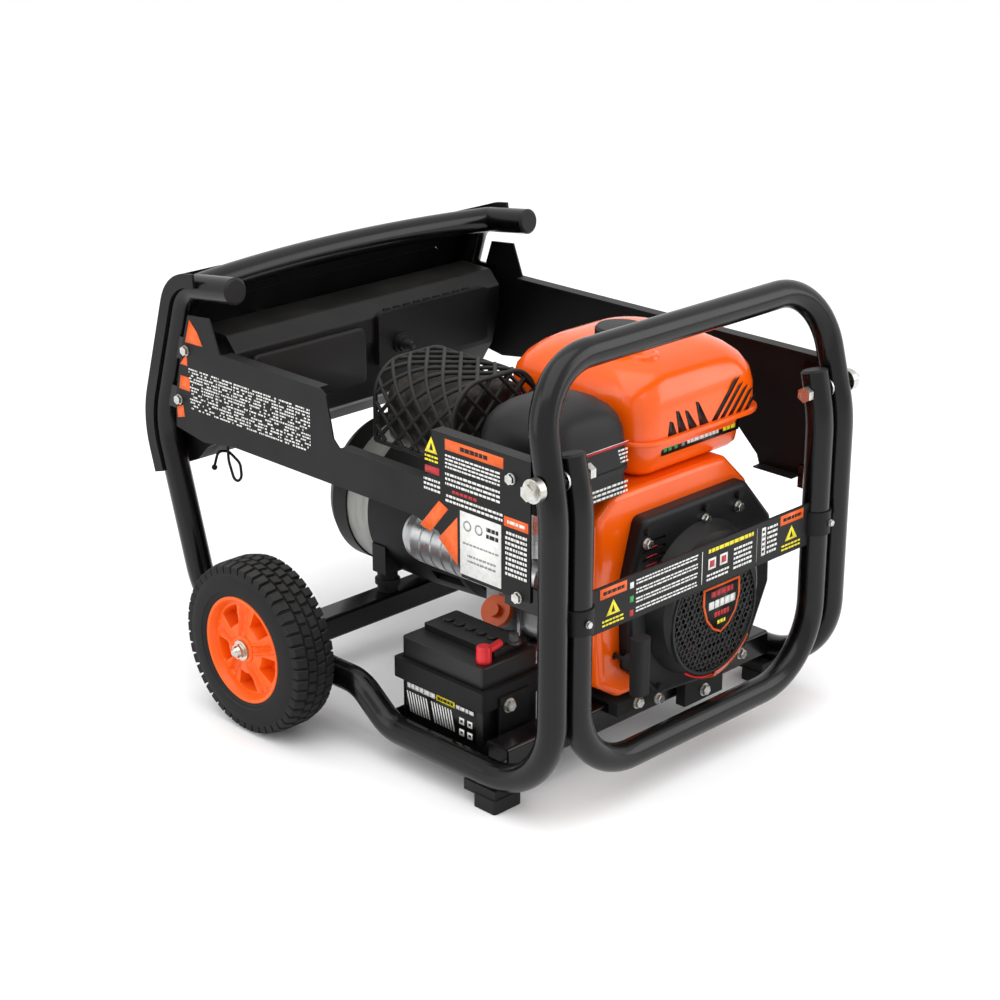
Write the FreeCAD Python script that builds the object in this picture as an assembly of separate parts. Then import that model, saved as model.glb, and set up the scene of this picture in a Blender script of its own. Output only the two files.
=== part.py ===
import FreeCAD, Part
import math
import os

# Portable petrol generator: tubular frame on two wheels, engine and alternator in line,
# starting battery, control box at the rear.  Millimetres, +Z up, -Y the recoil-starter end.
# The bench frame has y = 0 at the front legs and z = 0 at the bottom rails; every shape is
# moved by benchToPart when it is written, so that the origin is on the floor under the middle.

os.makedirs("parts", exist_ok=True)
V = FreeCAD.Vector

# ---- driving dimensions ----
groundDrop = 40.0          # bottom rail centre above the floor
frameMidY = 322.2          # bench y of the middle of the overall length
tubeR = 16.0
tubeWall = 2.0
legX = 238.0               # front hoop and side rails, centre to middle plane
uLegX = 201.0              # inner U tube
railBend = 92.0
jointY = 104.0             # butt joint between front hoop and side rails
kneeZ = 325.0              # the hoop leans back above this height
leanBack = 0.2258
hoopRise = 151.0
hoopTopX = 231.0
topBend = 79.0
uBottomZ = 12.6
uBend = 89.0
uTopZ = 378.0
railRaise = 38.0
stubEnd = (504.0, 461.0)
plateX = 250.0             # outer face of the side plates
plateT = 2.0
wheelY = 422.7
wheelZ = 64.0
wheelR = 104.0
axleR = 7.5
crankX = 48.0
crankZ = 138.0
alternatorR = 98.0
panelTilt = math.atan(0.32)

benchToPart = V(0, -frameMidY, groundDrop)
frameCorners = [(jointY, 0.0, 0), (252.0, 0.0, 50), (303.0, railRaise, 50), (581.0, railRaise, 80),
                (650.0, 277.0, 110), (595.0, 449.3, 38), (stubEnd[0], stubEnd[1], 0)]

written = []


def save(name, shape):
    shape = shape.copy()
    shape.translate(benchToPart)
    shape.exportStep("parts/%s.step" % name)
    written.append((name, shape))


def fuse(shapes):
    first = shapes[0]
    if len(shapes) > 1:
        first = first.multiFuse(shapes[1:])
    return first.removeSplitter()


def box(x0, x1, y0, y1, z0, z1):
    return Part.makeBox(x1 - x0, y1 - y0, z1 - z0, V(x0, y0, z0))


def rod(r, start, end):
    axis = V(*end) - V(*start)
    return Part.makeCylinder(r, axis.Length, V(*start), axis)


def ring(rOut, rIn, start, end):
    return rod(rOut, start, end).cut(rod(rIn, start, end))


def mirrored(shape):
    return shape.mirror(V(0, 0, 0), V(1, 0, 0))


def rounded(shape, radius, pick):
    edges = [e for e in shape.Edges if pick(e)]
    return shape.makeFillet(radius, edges)


def alongAxis(index):
    def test(edge):
        if len(edge.Vertexes) != 2:
            return False
        d = edge.Vertexes[1].Point - edge.Vertexes[0].Point
        parts = [abs(d.x), abs(d.y), abs(d.z)]
        return parts[index] > 0.999 * d.Length
    return test


def bentPath(corners, radii):
    """Straight runs joined by tangent arcs; the radius at the first and last corner is unused."""
    points = [V(*c) for c in corners]
    edges = []
    last = points[0]
    for i in range(1, len(points) - 1):
        into = (points[i] - points[i - 1]).normalize()
        out = (points[i + 1] - points[i]).normalize()
        turn = into.getAngle(out)
        if radii[i] == 0 or turn < 1e-4:
            continue
        reach = radii[i] * math.tan(turn / 2)
        a = points[i] - into * reach
        b = points[i] + out * reach
        inward = (out - into).normalize()
        centre = points[i] + inward * (radii[i] / math.cos(turn / 2))
        mid = centre - inward * radii[i]
        if (a - last).Length > 1e-4:
            edges.append(Part.LineSegment(last, a).toShape())
        edges.append(Part.Arc(a, mid, b).toShape())
        last = b
    edges.append(Part.LineSegment(last, points[-1]).toShape())
    return Part.Wire(edges)


def sweptRound(corners, radii, r):
    path = bentPath(corners, radii)
    start = V(*corners[0])
    heading = V(*corners[1]) - start
    profile = Part.Wire([Part.makeCircle(r, start, heading)])
    return path.makePipeShell([profile], True, False)


def tube(corners, radii, r=tubeR, wall=tubeWall):
    return sweptRound(corners, radii, r).cut(sweptRound(corners, radii, r - wall))


def prismX(outline, x0, x1):
    """Polygon of (y, z) points pushed along X."""
    wire = Part.makePolygon([V(x0, y, z) for y, z in outline] + [V(x0, outline[0][0], outline[0][1])])
    return Part.Face(wire).extrude(V(x1 - x0, 0, 0))


def prismY(outline, y0, y1):
    """Polygon of (x, z) points pushed along Y."""
    wire = Part.makePolygon([V(x, y0, z) for x, z in outline] + [V(outline[0][0], y0, outline[0][1])])
    return Part.Face(wire).extrude(V(0, y1 - y0, 0))


def revolvedY(outline, x, z):
    """Outline of (y, radius) points turned about a line parallel to Y through (x, z)."""
    wire = Part.makePolygon([V(x + r, y, z) for y, r in outline] + [V(x + outline[0][1], outline[0][0], z)])
    return Part.Face(wire).revolve(V(x, 0, z), V(0, 1, 0), 360)


def revolvedX(outline, y, z):
    """Outline of (x, radius) points turned about a line parallel to X through (y, z)."""
    wire = Part.makePolygon([V(x, y + r, z) for x, r in outline] + [V(outline[0][0], y + outline[0][1], z)])
    return Part.Face(wire).revolve(V(0, y, z), V(1, 0, 0), 360)


def revolvedZ(outline, x, y):
    """Outline of (radius, z) points turned about a vertical line through (x, y)."""
    wire = Part.makePolygon([V(x + r, y, z) for r, z in outline] + [V(x + outline[0][0], y, outline[0][1])])
    return Part.Face(wire).revolve(V(x, y, 0), V(0, 0, 1), 360)


def hexBar(acrossFlats, start, direction, length):
    r = acrossFlats / math.sqrt(3)
    points = [V(r * math.cos(math.radians(60 * i)), r * math.sin(math.radians(60 * i)), 0) for i in range(7)]
    bar = Part.Face(Part.makePolygon(points)).extrude(V(0, 0, length))
    bar.Placement = FreeCAD.Placement(V(*start), FreeCAD.Rotation(V(0, 0, 1), V(*direction)))
    return bar


def hexBolt(start, direction, shaft, length, head=None):
    """Flange-head bolt: head outside start, shank running from start against direction."""
    d = V(*direction).normalize()
    head = head or shaft * 1.7
    s = V(*start)
    flange = Part.makeCylinder(head * 0.62, 1.6, s, d)
    hexPart = hexBar(head, (s + d * 1.6), direction, shaft * 0.6)
    shank = Part.makeCylinder(shaft / 2, length, s, d * -1)
    return fuse([flange, hexPart, shank])


def leanPoint(x, rise):
    return (x, rise * math.sin(leanBack), kneeZ + rise * math.cos(leanBack))


# ---------------------------------------------------------------- frame tubes
hoopTop = leanPoint(hoopTopX, hoopRise)
hoopCorners = [(-legX, jointY, 0), (-legX, 0, 0), (-legX, 0, kneeZ), (-hoopTop[0], hoopTop[1], hoopTop[2]),
               hoopTop, (legX, 0, kneeZ), (legX, 0, 0), (legX, jointY, 0)]
hoopRadii = [0, railBend, 180, topBend, topBend, 180, railBend, 0]
uTopY = (uTopZ - kneeZ) * math.tan(leanBack)
uCorners = [(-uLegX, uTopY, uTopZ), (-uLegX, 0, kneeZ), (-uLegX, 0, uBottomZ), (uLegX, 0, uBottomZ),
            (uLegX, 0, kneeZ), (uLegX, uTopY, uTopZ)]
uRadii = [0, 180, uBend, uBend, 180, 0]

crossBoltZ = kneeZ + 31.0
crossBoltY = 31.0 * math.tan(leanBack)
crossHole = rod(5.2, (-300, crossBoltY, crossBoltZ), (300, crossBoltY, crossBoltZ))
hoop = tube(hoopCorners, hoopRadii).cut(crossHole)
uTube = tube(uCorners, uRadii).cut(crossHole)


def plateTab(y0, y1, z0, z1, boltY, boltZ):
    """Welded tab, just inside the side plate, that a plate bolt screws into."""
    tab = box(-plateX + plateT + 0.3, -plateX + plateT + 4.3, y0, y1, z0, z1)
    return tab.cut(rod(3.2, (-260, boltY, boltZ), (-230, boltY, boltZ)))


frontBolts = [(48.0, 356.0), (38.0, 228.0)]
rearBolts = [(586.0, 376.0), (603.0, 312.0)]
legTabs = [plateTab(10, 60, z - 14, z + 14, y, z) for y, z in frontBolts]
postTabs = [plateTab(y - 14, y + 26, z - 14, z + 14, y, z) for y, z in rearBolts]


def weldTabs(body, tabs, solidTube):
    joined = body
    for tab in tabs:
        joined = joined.fuse(tab.cut(solidTube))
    return joined


solidHoop = sweptRound(hoopCorners, hoopRadii, tubeR - tubeWall / 2)
hoop = weldTabs(hoop, legTabs + [mirrored(t) for t in legTabs], solidHoop)
save("front_hoop", hoop)
save("front_u_tube", uTube)

railCorners = [(-legX, y, z) for y, z, r in frameCorners]
railRadii = [r for y, z, r in frameCorners]
solidRail = sweptRound(railCorners, railRadii, tubeR - tubeWall / 2)
sideRail = tube(railCorners, railRadii)
sideRail = weldTabs(sideRail, postTabs, solidRail)
# axle saddle: a plate on each side of the axle, standing on the raised rail
saddle = prismX([(wheelY - 24, railRaise + 6), (wheelY - 14, wheelZ + 13), (wheelY + 14, wheelZ + 13),
                 (wheelY + 24, railRaise + 6)], -legX - 10, -legX + 10)
saddle = saddle.cut(rod(axleR + 0.05, (-300, wheelY, wheelZ), (0, wheelY, wheelZ))).cut(solidRail)
sideRail = sideRail.cut(rod(axleR + 0.05, (-300, wheelY, wheelZ), (0, wheelY, wheelZ)))
sideRail = sideRail.fuse(saddle)
save("side_rail_left", sideRail)
save("side_rail_right", mirrored(sideRail))

# bowed cross bar of the handle, coped onto the side tubes
barEnds = [V(-legX, 575, 451.8), V(0, 592, 456), V(legX, 575, 451.8)]
barWire = Part.Wire([Part.Arc(*barEnds).toShape()])


def barSweep(r):
    heading = barWire.Edges[0].tangentAt(barWire.Edges[0].FirstParameter)
    return barWire.makePipeShell([Part.Wire([Part.makeCircle(r, barEnds[0], heading)])], True, False)


fullRail = sweptRound(railCorners, railRadii, tubeR)
handleBar = barSweep(tubeR).cut(barSweep(tubeR - tubeWall))
for side in (fullRail, mirrored(fullRail)):
    handleBar = handleBar.cut(side)
handleBar = max(handleBar.Solids, key=lambda s: s.Volume)
save("handle_bar", handleBar)


def tubeCap(end, direction):
    """Plastic plug: a thin domed button with a short barbed stem inside the tube."""
    d = V(*direction).normalize()
    e = V(*end)
    stem = Part.makeCylinder(tubeR - tubeWall - 0.1, 12, e - d * 12, d)
    top = Part.makeCone(tubeR, tubeR - 3, 2.5, e, d)
    return fuse([stem, top])


stubDir = (0, stubEnd[0] - 595.0, stubEnd[1] - 449.3)
leanDir = (0, math.sin(leanBack), math.cos(leanBack))
caps = []
for x in (-1, 1):
    caps.append(tubeCap((x * legX, stubEnd[0], stubEnd[1]), stubDir))
    caps.append(tubeCap((x * uLegX, uTopY, uTopZ), leanDir))
save("tube_caps", Part.makeCompound(caps))

# ---------------------------------------------------------------- cross beams
beamHalf = legX - tubeR + 1.5
frontBeamY = (78.0, 112.0)
frontBeamZ = (-4.0, 28.0)
channel = box(-beamHalf, beamHalf, frontBeamY[0], frontBeamY[1], frontBeamZ[0], frontBeamZ[1])
channel = rounded(channel, 4, alongAxis(0))
channel = channel.cut(box(-300, 300, frontBeamY[0] + 3, frontBeamY[1] - 3, frontBeamZ[0] - 1, frontBeamZ[1] - 3))
channel = channel.cut(fullRail).cut(mirrored(fullRail)).cut(sweptRound(hoopCorners, hoopRadii, tubeR))
save("front_cross_beam", max(channel.Solids, key=lambda s: s.Volume))

rearBeamY = (468.0, 504.0)
rearBeamZ = (6.0, 36.0)
rearBeam = box(-beamHalf, beamHalf, rearBeamY[0], rearBeamY[1], rearBeamZ[0], rearBeamZ[1])
rearBeam = rounded(rearBeam, 4, alongAxis(0))
rearBeam = rearBeam.cut(box(-300, 300, rearBeamY[0] + 3, rearBeamY[1] - 3, rearBeamZ[0] - 1, rearBeamZ[1] - 3))
rearBeam = rearBeam.cut(fullRail).cut(mirrored(fullRail))
save("rear_cross_beam", max(rearBeam.Solids, key=lambda s: s.Volume))

# ---------------------------------------------------------------- side plates
lowerEdge = [(21, 226), (122, 226), (126, 238), (158, 268), (196, 276), (505, 276), (560, 268), (612, 276),
             (611, 313), (594, 380), (580, 420), (540, 424), (524, 384)]
flangeIn = -plateX + 16.0


def sidePlate(topEdge, flanges):
    """Folded plate on the left side: outline, in-turned flanges, bolt holes, coped round the tubes."""
    shape = fuse([prismX(lowerEdge + topEdge, -plateX, -plateX + plateT)]
                 + [box(-plateX, flangeIn, y0, y1, z0, z1) for y0, y1, z0, z1 in flanges])
    for boltY, boltZ in frontBolts + rearBolts:
        shape = shape.cut(rod(3.4, (-260, boltY, boltZ), (-230, boltY, boltZ)))
    shape = shape.cut(fullRail).cut(sweptRound(hoopCorners, hoopRadii, tubeR))
    return max(shape.Solids, key=lambda s: s.Volume)


# the left plate is notched at the muffler, the right one runs straight past the tank
notched = [(345, 384), (336, 378), (325, 330), (316, 322), (180, 322), (172, 330), (166, 380), (21, 380)]
lowFlanges = [(62, 120, 226, 228), (200, 500, 276, 278)]
save("side_plate_left", sidePlate(notched, lowFlanges + [
    (21, 166, 378, 380), (349, 520, 382, 384), (184, 314, 320, 322)]))
save("side_plate_right", mirrored(sidePlate([(21, 384)], lowFlanges + [(21, 520, 382, 384)])))

# ---------------------------------------------------------------- label bar between the U legs
barZ = (175.0, 226.0)
labelScrewX = 205.0
labelBar = box(-uLegX + 15, uLegX - 15, -3, 0, barZ[0], barZ[1])
saddles = []
for x in (-1, 1):
    strap = ring(tubeR + 2.3, tubeR + 0.05, (x * uLegX, 0, 187), (x * uLegX, 0, 215))
    strap = strap.cut(box(x * uLegX - 30, x * uLegX + 30, 3, 30, 180, 220))
    saddles.append(strap)
labelBar = fuse([labelBar.cut(sweptRound(uCorners, uRadii, tubeR + 0.05))] + saddles)
for x in (-1, 1):
    labelBar = labelBar.cut(rod(2.1, (x * labelScrewX, -30, 201), (x * labelScrewX, -10, 201)))
save("label_bar", labelBar)

# ---------------------------------------------------------------- fasteners of the frame
fasteners = []
for side in (-1, 1):
    outX = side * 263.0
    fasteners.append(hexBolt((outX, crossBoltY, crossBoltZ), (side, 0, 0), 10, 86, 16))
    fasteners.append(ring(13, 5.05, (side * 254.2, crossBoltY, crossBoltZ), (side * 262.9, crossBoltY, crossBoltZ)))
    fasteners.append(ring(11, 5.05, (side * 217.3, crossBoltY, crossBoltZ), (side * 219.6, crossBoltY, crossBoltZ)))
    nut = hexBar(16, (side * 184.6, crossBoltY, crossBoltZ), (-side, 0, 0), 8)
    fasteners.append(nut.cut(rod(5.05, (-300, crossBoltY, crossBoltZ), (300, crossBoltY, crossBoltZ))))
    for boltY, boltZ in frontBolts + rearBolts:
        fasteners.append(hexBolt((side * plateX + side * 0.05, boltY, boltZ), (side, 0, 0), 6, 12, 10))
    fasteners.append(hexBolt((side * labelScrewX, -tubeR - 2.4, 201), (0, -1, 0), 4, 2.4, 6.5))
save("frame_fasteners", Part.makeCompound(fasteners))

# ---------------------------------------------------------------- front feet
def foot(side):
    sole = box(side * 230 - 21, side * 230 + 21, 72, 106, -groundDrop, -24)
    sole = rounded(sole, 4, alongAxis(2))
    bracket = box(side * 230 - 19, side * 230 + 19, 74, 122, -26, -13)
    body = fuse([sole, bracket])
    return body.cut(sweptRound([(side * legX, 200, 0), (side * legX, jointY, 0), (side * legX, 0, 0),
                                (side * legX, 0, 200)], [0, 0, railBend, 0], tubeR + 0.05))


save("front_feet", Part.makeCompound([foot(-1), foot(1)]))

# ---------------------------------------------------------------- axle, wheels
stubs = []
for side in (-1, 1):
    stubs.append(fuse([rod(axleR, (side * 222, wheelY, wheelZ), (side * 319, wheelY, wheelZ)),
                       hexBar(18, (side * 227.7, wheelY, wheelZ), (-side, 0, 0), 6)]))
save("stub_axles", Part.makeCompound(stubs))
nuts = []
for side in (-1, 1):
    nuts.append(ring(12, axleR, (side * 314.2, wheelY, wheelZ), (side * 315.8, wheelY, wheelZ)))
    capNut = fuse([hexBar(16, (side * 316.0, wheelY, wheelZ), (side, 0, 0), 5),
                   revolvedX([(side * 321, 0), (side * 321, 7.4), (side * 324.5, 6.2), (side * 327.0, 3.4),
                              (side * 327.8, 0)], wheelY, wheelZ)])
    nuts.append(capNut.cut(rod(axleR, (-319.1, wheelY, wheelZ), (319.1, wheelY, wheelZ))))
    nuts.append(ring(11, axleR, (side * 254.6, wheelY, wheelZ), (side * 257.6, wheelY, wheelZ)))
save("hub_nuts", Part.makeCompound(nuts))

rimR = 65.8


def wheelRim():
    """Moulded wheel: hub tube, five broad spokes with hollow backs, barrel and outer lip."""
    hub = revolvedX([(-258, axleR + 0.06), (-258, 17), (-313.6, 17), (-313.6, axleR + 0.06)], wheelY, wheelZ)
    barrel = revolvedX([(-262, 54), (-262, 64), (-266, 59.7), (-306, 59.7), (-312, rimR - 0.2),
                        (-315, rimR - 1.6), (-315, rimR - 5), (-308, 54)], wheelY, wheelZ)
    disc = revolvedX([(-298, 16), (-298, 55), (-304, 55.5), (-309, 40), (-312, 16)], wheelY, wheelZ)
    for i in range(5):
        angle = 2 * math.pi * i / 5 + math.radians(54)
        y = wheelY + 38 * math.cos(angle)
        z = wheelZ + 38 * math.sin(angle)
        window = Part.makeCylinder(9.5, 60, V(-330, y, z), V(1, 0, 0))
        disc = disc.cut(window)
    return fuse([hub, barrel, disc])


def tyre():
    outline = [(-266.4, 60), (-305.6, 60), (-310.5, 64.2), (-315, 69), (-317.6, 80), (-316.4, 92),
               (-311, 99.5), (-300, wheelR), (-272, wheelR), (-263, 99.5), (-258.2, 92),
               (-257, 80), (-259.6, 69), (-262.8, 64.4)]
    carcass = revolvedX(outline, wheelY, wheelZ)
    # tread blocks cut by cross grooves, staggered on the two halves of the tread
    grooves = []
    count = 36
    for i in range(count):
        for x0, x1, phase in ((-320, -288.2, 0.0), (-284.6, -255, 0.5)):
            angle = 360.0 * (i + phase) / count
            groove = box(x0, x1, wheelR - 5.5, wheelR + 3, -3.0, 3.0)
            groove.rotate(V(0, 0, 0), V(1, 0, 0), angle)
            groove.translate(V(0, wheelY, wheelZ))
            grooves.append(groove)
    carcass = carcass.cut(Part.makeCompound(grooves))
    centreGroove = revolvedX([(-287.7, wheelR - 4), (-285.1, wheelR - 4), (-285.1, wheelR + 1),
                              (-287.7, wheelR + 1)], wheelY, wheelZ)
    return carcass.cut(centreGroove)


rim = wheelRim()
tread = tyre()
save("wheel_rim_left", rim)
save("wheel_rim_right", mirrored(rim))
save("tyre_left", tread)
save("tyre_right", mirrored(tread))


# ---------------------------------------------------------------- rear fascia and control box
def offsetCorners(corners, distance):
    """Corners of a (y, z, radius) path moved sideways by distance towards the rear of the machine."""
    lines = []
    for (y0, z0, r0), (y1, z1, r1) in zip(corners[:-1], corners[1:]):
        length = math.hypot(y1 - y0, z1 - z0)
        ny, nz = (z1 - z0) / length, -(y1 - y0) / length
        lines.append((y0 + ny * distance, z0 + nz * distance, y1 + ny * distance, z1 + nz * distance))
    moved = [(lines[0][0], lines[0][1], 0)]
    for a, b, corner in zip(lines[:-1], lines[1:], corners[1:-1]):
        d1 = (a[2] - a[0], a[3] - a[1])
        d2 = (b[2] - b[0], b[3] - b[1])
        cross = d1[0] * d2[1] - d1[1] * d2[0]
        t = ((b[0] - a[0]) * d2[1] - (b[1] - a[1]) * d2[0]) / cross
        moved.append((a[0] + d1[0] * t, a[1] + d1[1] * t, corner[2] + distance))
    moved.append((lines[-1][2], lines[-1][3], 0))
    return moved


fasciaPath = [(632.2, 215.4, 0), (650.0, 277.0, 110), (595.0, 449.3, 38), (556.0, 454.4, 0)]


def band(inner, outer, x0, x1):
    """Strip between two offsets of the rear profile, pushed along X."""
    near = offsetCorners(fasciaPath, inner)
    far = offsetCorners(fasciaPath, outer)
    nearWire = bentPath([(x0, y, z) for y, z, r in near], [r for y, z, r in near])
    farWire = bentPath([(x0, y, z) for y, z, r in far], [r for y, z, r in far])
    ends = [Part.LineSegment(V(x0, near[k][0], near[k][1]), V(x0, far[k][0], far[k][1])).toShape() for k in (0, -1)]
    wire = Part.Wire(Part.__sortEdges__(nearWire.Edges + farWire.Edges + ends))
    return Part.Face(wire).extrude(V(x1 - x0, 0, 0))


panelNormal = V(0, math.cos(panelTilt), math.sin(panelTilt))
panelUp = V(0, -math.sin(panelTilt), math.cos(panelTilt))
panelCentre = V(0, 617 + 0.32 * 24, 356)       # on the line between the post centres


def onPanel(shape):
    """Shape drawn with +Z out of the panel, +Y up it, put on the sloping control panel."""
    placed = shape.copy()
    frame = FreeCAD.Matrix(-1, 0, 0, panelCentre.x,
                           0, panelUp.y, panelNormal.y, panelCentre.y,
                           0, panelUp.z, panelNormal.z, panelCentre.z, 0, 0, 0, 1)
    return placed.transformGeometry(frame)


panelHalfW = 196.0
panelHalfH = 58.0
fascia = fuse([band(16.6, 19.6, -254, 254), band(3, 19.6, -257.4, -254.4 + 0.6), band(3, 19.6, 254.4 - 0.6, 257.4)])
window = Part.makeBox(2 * panelHalfW, 2 * panelHalfH, 60, V(-panelHalfW, -panelHalfH, -10))
window = rounded(window, 14, alongAxis(2))
fascia = fascia.cut(box(-253.9, 253.9, 500, 588, 400, 500))
fascia = fascia.cut(onPanel(window)).cut(barSweep(tubeR + 0.3))
fascia = max(fascia.Solids, key=lambda s: s.Volume)
save("rear_fascia", fascia)

boxOutline = [(620, 222), (598, 244), (571, 259), (548, 296), (535, 345), (535, 376), (552, 394),
              (606, 396), (621, 352), (640, 288), (638, 240)]
boxSkin = prismX(boxOutline, -217, 217)
boxSkin = rounded(boxSkin, 7, alongAxis(0))
innerOutline = [(618, 229), (600, 247), (574, 262), (551, 297), (538, 345), (538, 375), (553, 391),
                (612, 391), (630, 352), (650, 288), (650, 229)]
controlBox = boxSkin.cut(prismX(innerOutline, -214, 214))
controlBox = fuse([controlBox, rounded(box(2, 190, 529, 539, 310, 380), 6, alongAxis(1)).cut(
    prismX(innerOutline, -214, 214))])
save("control_box", controlBox)

# panel plate with the cut-outs of what is mounted in it
socketXs = (-128.0, -52.0)
socketR = 25.0
meterX, keyX, breakerX, terminalX = 150.0, 92.0, 36.0, 0.0
slab = Part.makeBox(2 * panelHalfW - 1, 2 * panelHalfH - 1, 3, V(-panelHalfW + 0.5, -panelHalfH + 0.5, 16.6))
slab = rounded(slab, 13.5, alongAxis(2))
for x in socketXs:
    slab = slab.cut(Part.makeCylinder(socketR - 3, 20, V(x, -4, 10)))
slab = slab.cut(Part.makeBox(44, 24, 20, V(meterX - 22, 2, 10)))
slab = slab.cut(Part.makeCylinder(9.3, 20, V(keyX, 12, 10)))
slab = slab.cut(Part.makeCylinder(6.4, 20, V(breakerX, 12, 10)))
save("control_panel", onPanel(slab))

meter = fuse([Part.makeBox(43, 23, 26, V(meterX - 21.5, 2.5, -6)),
              Part.makeBox(50, 30, 3, V(meterX - 25, -1, 19.7))])
save("voltmeter", onPanel(meter))

lidHinge = 22.0
sockets = []
for x in socketXs:
    body = fuse([Part.makeCylinder(socketR - 3.2, 30, V(x, -4, -8)),
                 rounded(Part.makeBox(54, 54, 4, V(x - 27, -31, 19.7)), 6, alongAxis(2)),
                 ])
    body = body.cut(Part.makeCylinder(18.5, 20, V(x, -4, 10)))
    for dx in (-9.5, 9.5):
        body = body.cut(Part.makeCylinder(2.5, 20, V(x + dx, -4, -5)))
    for side in (-1, 1):
        body = body.fuse(Part.makeBox(4, 7, 8, V(x + side * 21 - 2, lidHinge - 3, 23.6)))
    body = body.cut(Part.makeCylinder(1.55, 60, V(x - 30, lidHinge, 28), V(1, 0, 0)))
    sockets.append(body)
save("sockets", onPanel(Part.makeCompound(sockets)))


def socketLid(x):
    """Sprung splash lid on a pin above the socket."""
    cover = rounded(Part.makeBox(46, 44, 3.2, V(x - 23, -27, 24.2)), 8, alongAxis(2))
    crown = Part.makeCone(19, 15, 3, V(x, -4, 27.4))
    knuckle = Part.makeCylinder(3.3, 37.4, V(x - 18.7, lidHinge, 28), V(1, 0, 0))
    web = Part.makeBox(37.4, 8, 3.0, V(x - 18.7, lidHinge - 8, 25.2))
    pin = Part.makeCylinder(1.5, 46, V(x - 23, lidHinge, 28), V(1, 0, 0))
    lid = fuse([cover, crown, knuckle, web, pin])
    for side in (-1, 1):
        lid = lid.cut(Part.makeBox(5.2, 9, 4.6, V(x + side * 21 - 2.6, lidHinge - 5, 24.0)).cut(
            Part.makeCylinder(1.5, 60, V(x - 30, lidHinge, 28), V(1, 0, 0))))
    return lid


save("socket_lid_left", onPanel(socketLid(socketXs[0])))
save("socket_lid_right", onPanel(socketLid(socketXs[1])))

keyBody = fuse([Part.makeCylinder(9.2, 26, V(keyX, 12, -4)), ring(14, 9.3, (keyX, 12, 19.7), (keyX, 12, 22.2))])
keySlot = fuse([Part.makeCylinder(8.4, 3, V(keyX, 12, 22.4)),
                rounded(Part.makeBox(5, 26, 17, V(keyX - 2.5, -1, 25.4)), 2.0, alongAxis(2))])
save("key_switch", onPanel(keySlot))
breakerBody = ring(10.5, 5.3, (breakerX, 12, 19.7), (breakerX, 12, 23.7)).fuse(
    ring(6.3, 5.3, (breakerX, 12, 2), (breakerX, 12, 19.7)))
terminal = fuse([hexBar(12, (terminalX, -30, 19.7), (0, 0, 1), 5), Part.makeCylinder(3, 14, V(terminalX, -30, 19.7))])
save("panel_bezels", onPanel(Part.makeCompound([keyBody, breakerBody, terminal])))
button = fuse([Part.makeCylinder(5.0, 22, V(breakerX, 12, 6)), Part.makeCone(5.0, 4.2, 1.2, V(breakerX, 12, 28))])
save("breaker_button", onPanel(button))

# stiff formed wire under the left end of the control box, with a ball tip
hookX = -196.0
hookPoints = [(hookX, 585, 250.8), (hookX, 585, 226), (hookX - 2, 572, 203), (hookX, 560, 206), (hookX + 3, 566, 226),
              (hookX + 3, 588, 236), (hookX + 1, 606, 232), (hookX, 613, 212)]
hook = sweptRound(hookPoints, [0, 22, 8, 8, 12, 16, 14, 0], 1.7)
ball = Part.makeSphere(3.6, V(hookX, 613.4, 209.5))
save("wire_hook", fuse([hook, ball]))
print("frame done")

# ---------------------------------------------------------------- engine
base = box(crankX - 92, crankX + 92, 138, 312, 32, 44)
case = box(crankX - 86, crankX + 86, 148, 300, 44, 222)
case = rounded(case, 26, alongAxis(1))
rib = [box(crankX - 90, crankX + 90, y, y + 5, 44, 150) for y in (170, 205, 240, 275)]
ptoFace = rod(82, (crankX, 299, crankZ), (crankX, 329.7, crankZ))
crankcase = fuse([base, case, ptoFace] + rib)
cavity = rounded(box(crankX - 76, crankX + 76, 158, 290, 54, 212), 20, alongAxis(1))
crankBore = rod(18.06, (crankX, 100, crankZ), (crankX, 340, crankZ))
crankcase = crankcase.cut(cavity).cut(crankBore)

tilt = math.radians(40)
outDir = V(-math.cos(tilt), 0, math.sin(tilt))
sideDir = V(math.sin(tilt), 0, math.cos(tilt))


def cylinderBlock(r0, r1, halfWide, y0, y1):
    """Block square to the inclined cylinder axis, from distance r0 to r1 from the crankshaft."""
    start = V(crankX, y0, crankZ) + outDir * r0 - sideDir * halfWide
    corners = [start, start + outDir * (r1 - r0), start + outDir * (r1 - r0) + sideDir * 2 * halfWide,
               start + sideDir * 2 * halfWide, start]
    return Part.Face(Part.makePolygon(corners)).extrude(V(0, y1 - y0, 0))


barrelCore = cylinderBlock(96, 178, 36, 178, 262)
fins = [cylinderBlock(104 + 10 * i, 107.5 + 10 * i, 50, 164, 276) for i in range(7)]
head = cylinderBlock(178, 196, 48, 170, 274)
rocker = rounded(cylinderBlock(196, 208, 34, 182, 262), 5, lambda e: e.Length < 90 and alongAxis(1)(e))
cylinder = fuse([barrelCore] + fins + [head, rocker])
cylinder = cylinder.cut(case)
boreStart = V(crankX, 220, crankZ) + outDir * 84
cylinderBore = Part.makeCylinder(31, 90, boreStart, outDir)
cylinder = cylinder.cut(cylinderBore)
crankcase = crankcase.cut(Part.makeCylinder(36, 60, V(crankX, 220, crankZ) + outDir * 60, outDir))
# oil filler neck, low on the side of the crankcase
fillerDir = V(-0.82, -0.2, 0.54).normalize()
fillerStart = V(crankX - 86, 262, 70)
filler = Part.makeCylinder(15, 34, fillerStart - fillerDir * 6, fillerDir).cut(cavity)
crankcase = crankcase.fuse(filler).cut(Part.makeCylinder(9, 60, fillerStart - fillerDir * 20, fillerDir))
save("crankcase", max(crankcase.Solids, key=lambda s: s.Volume))
save("cylinder_block", max(cylinder.Solids, key=lambda s: s.Volume))

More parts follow.
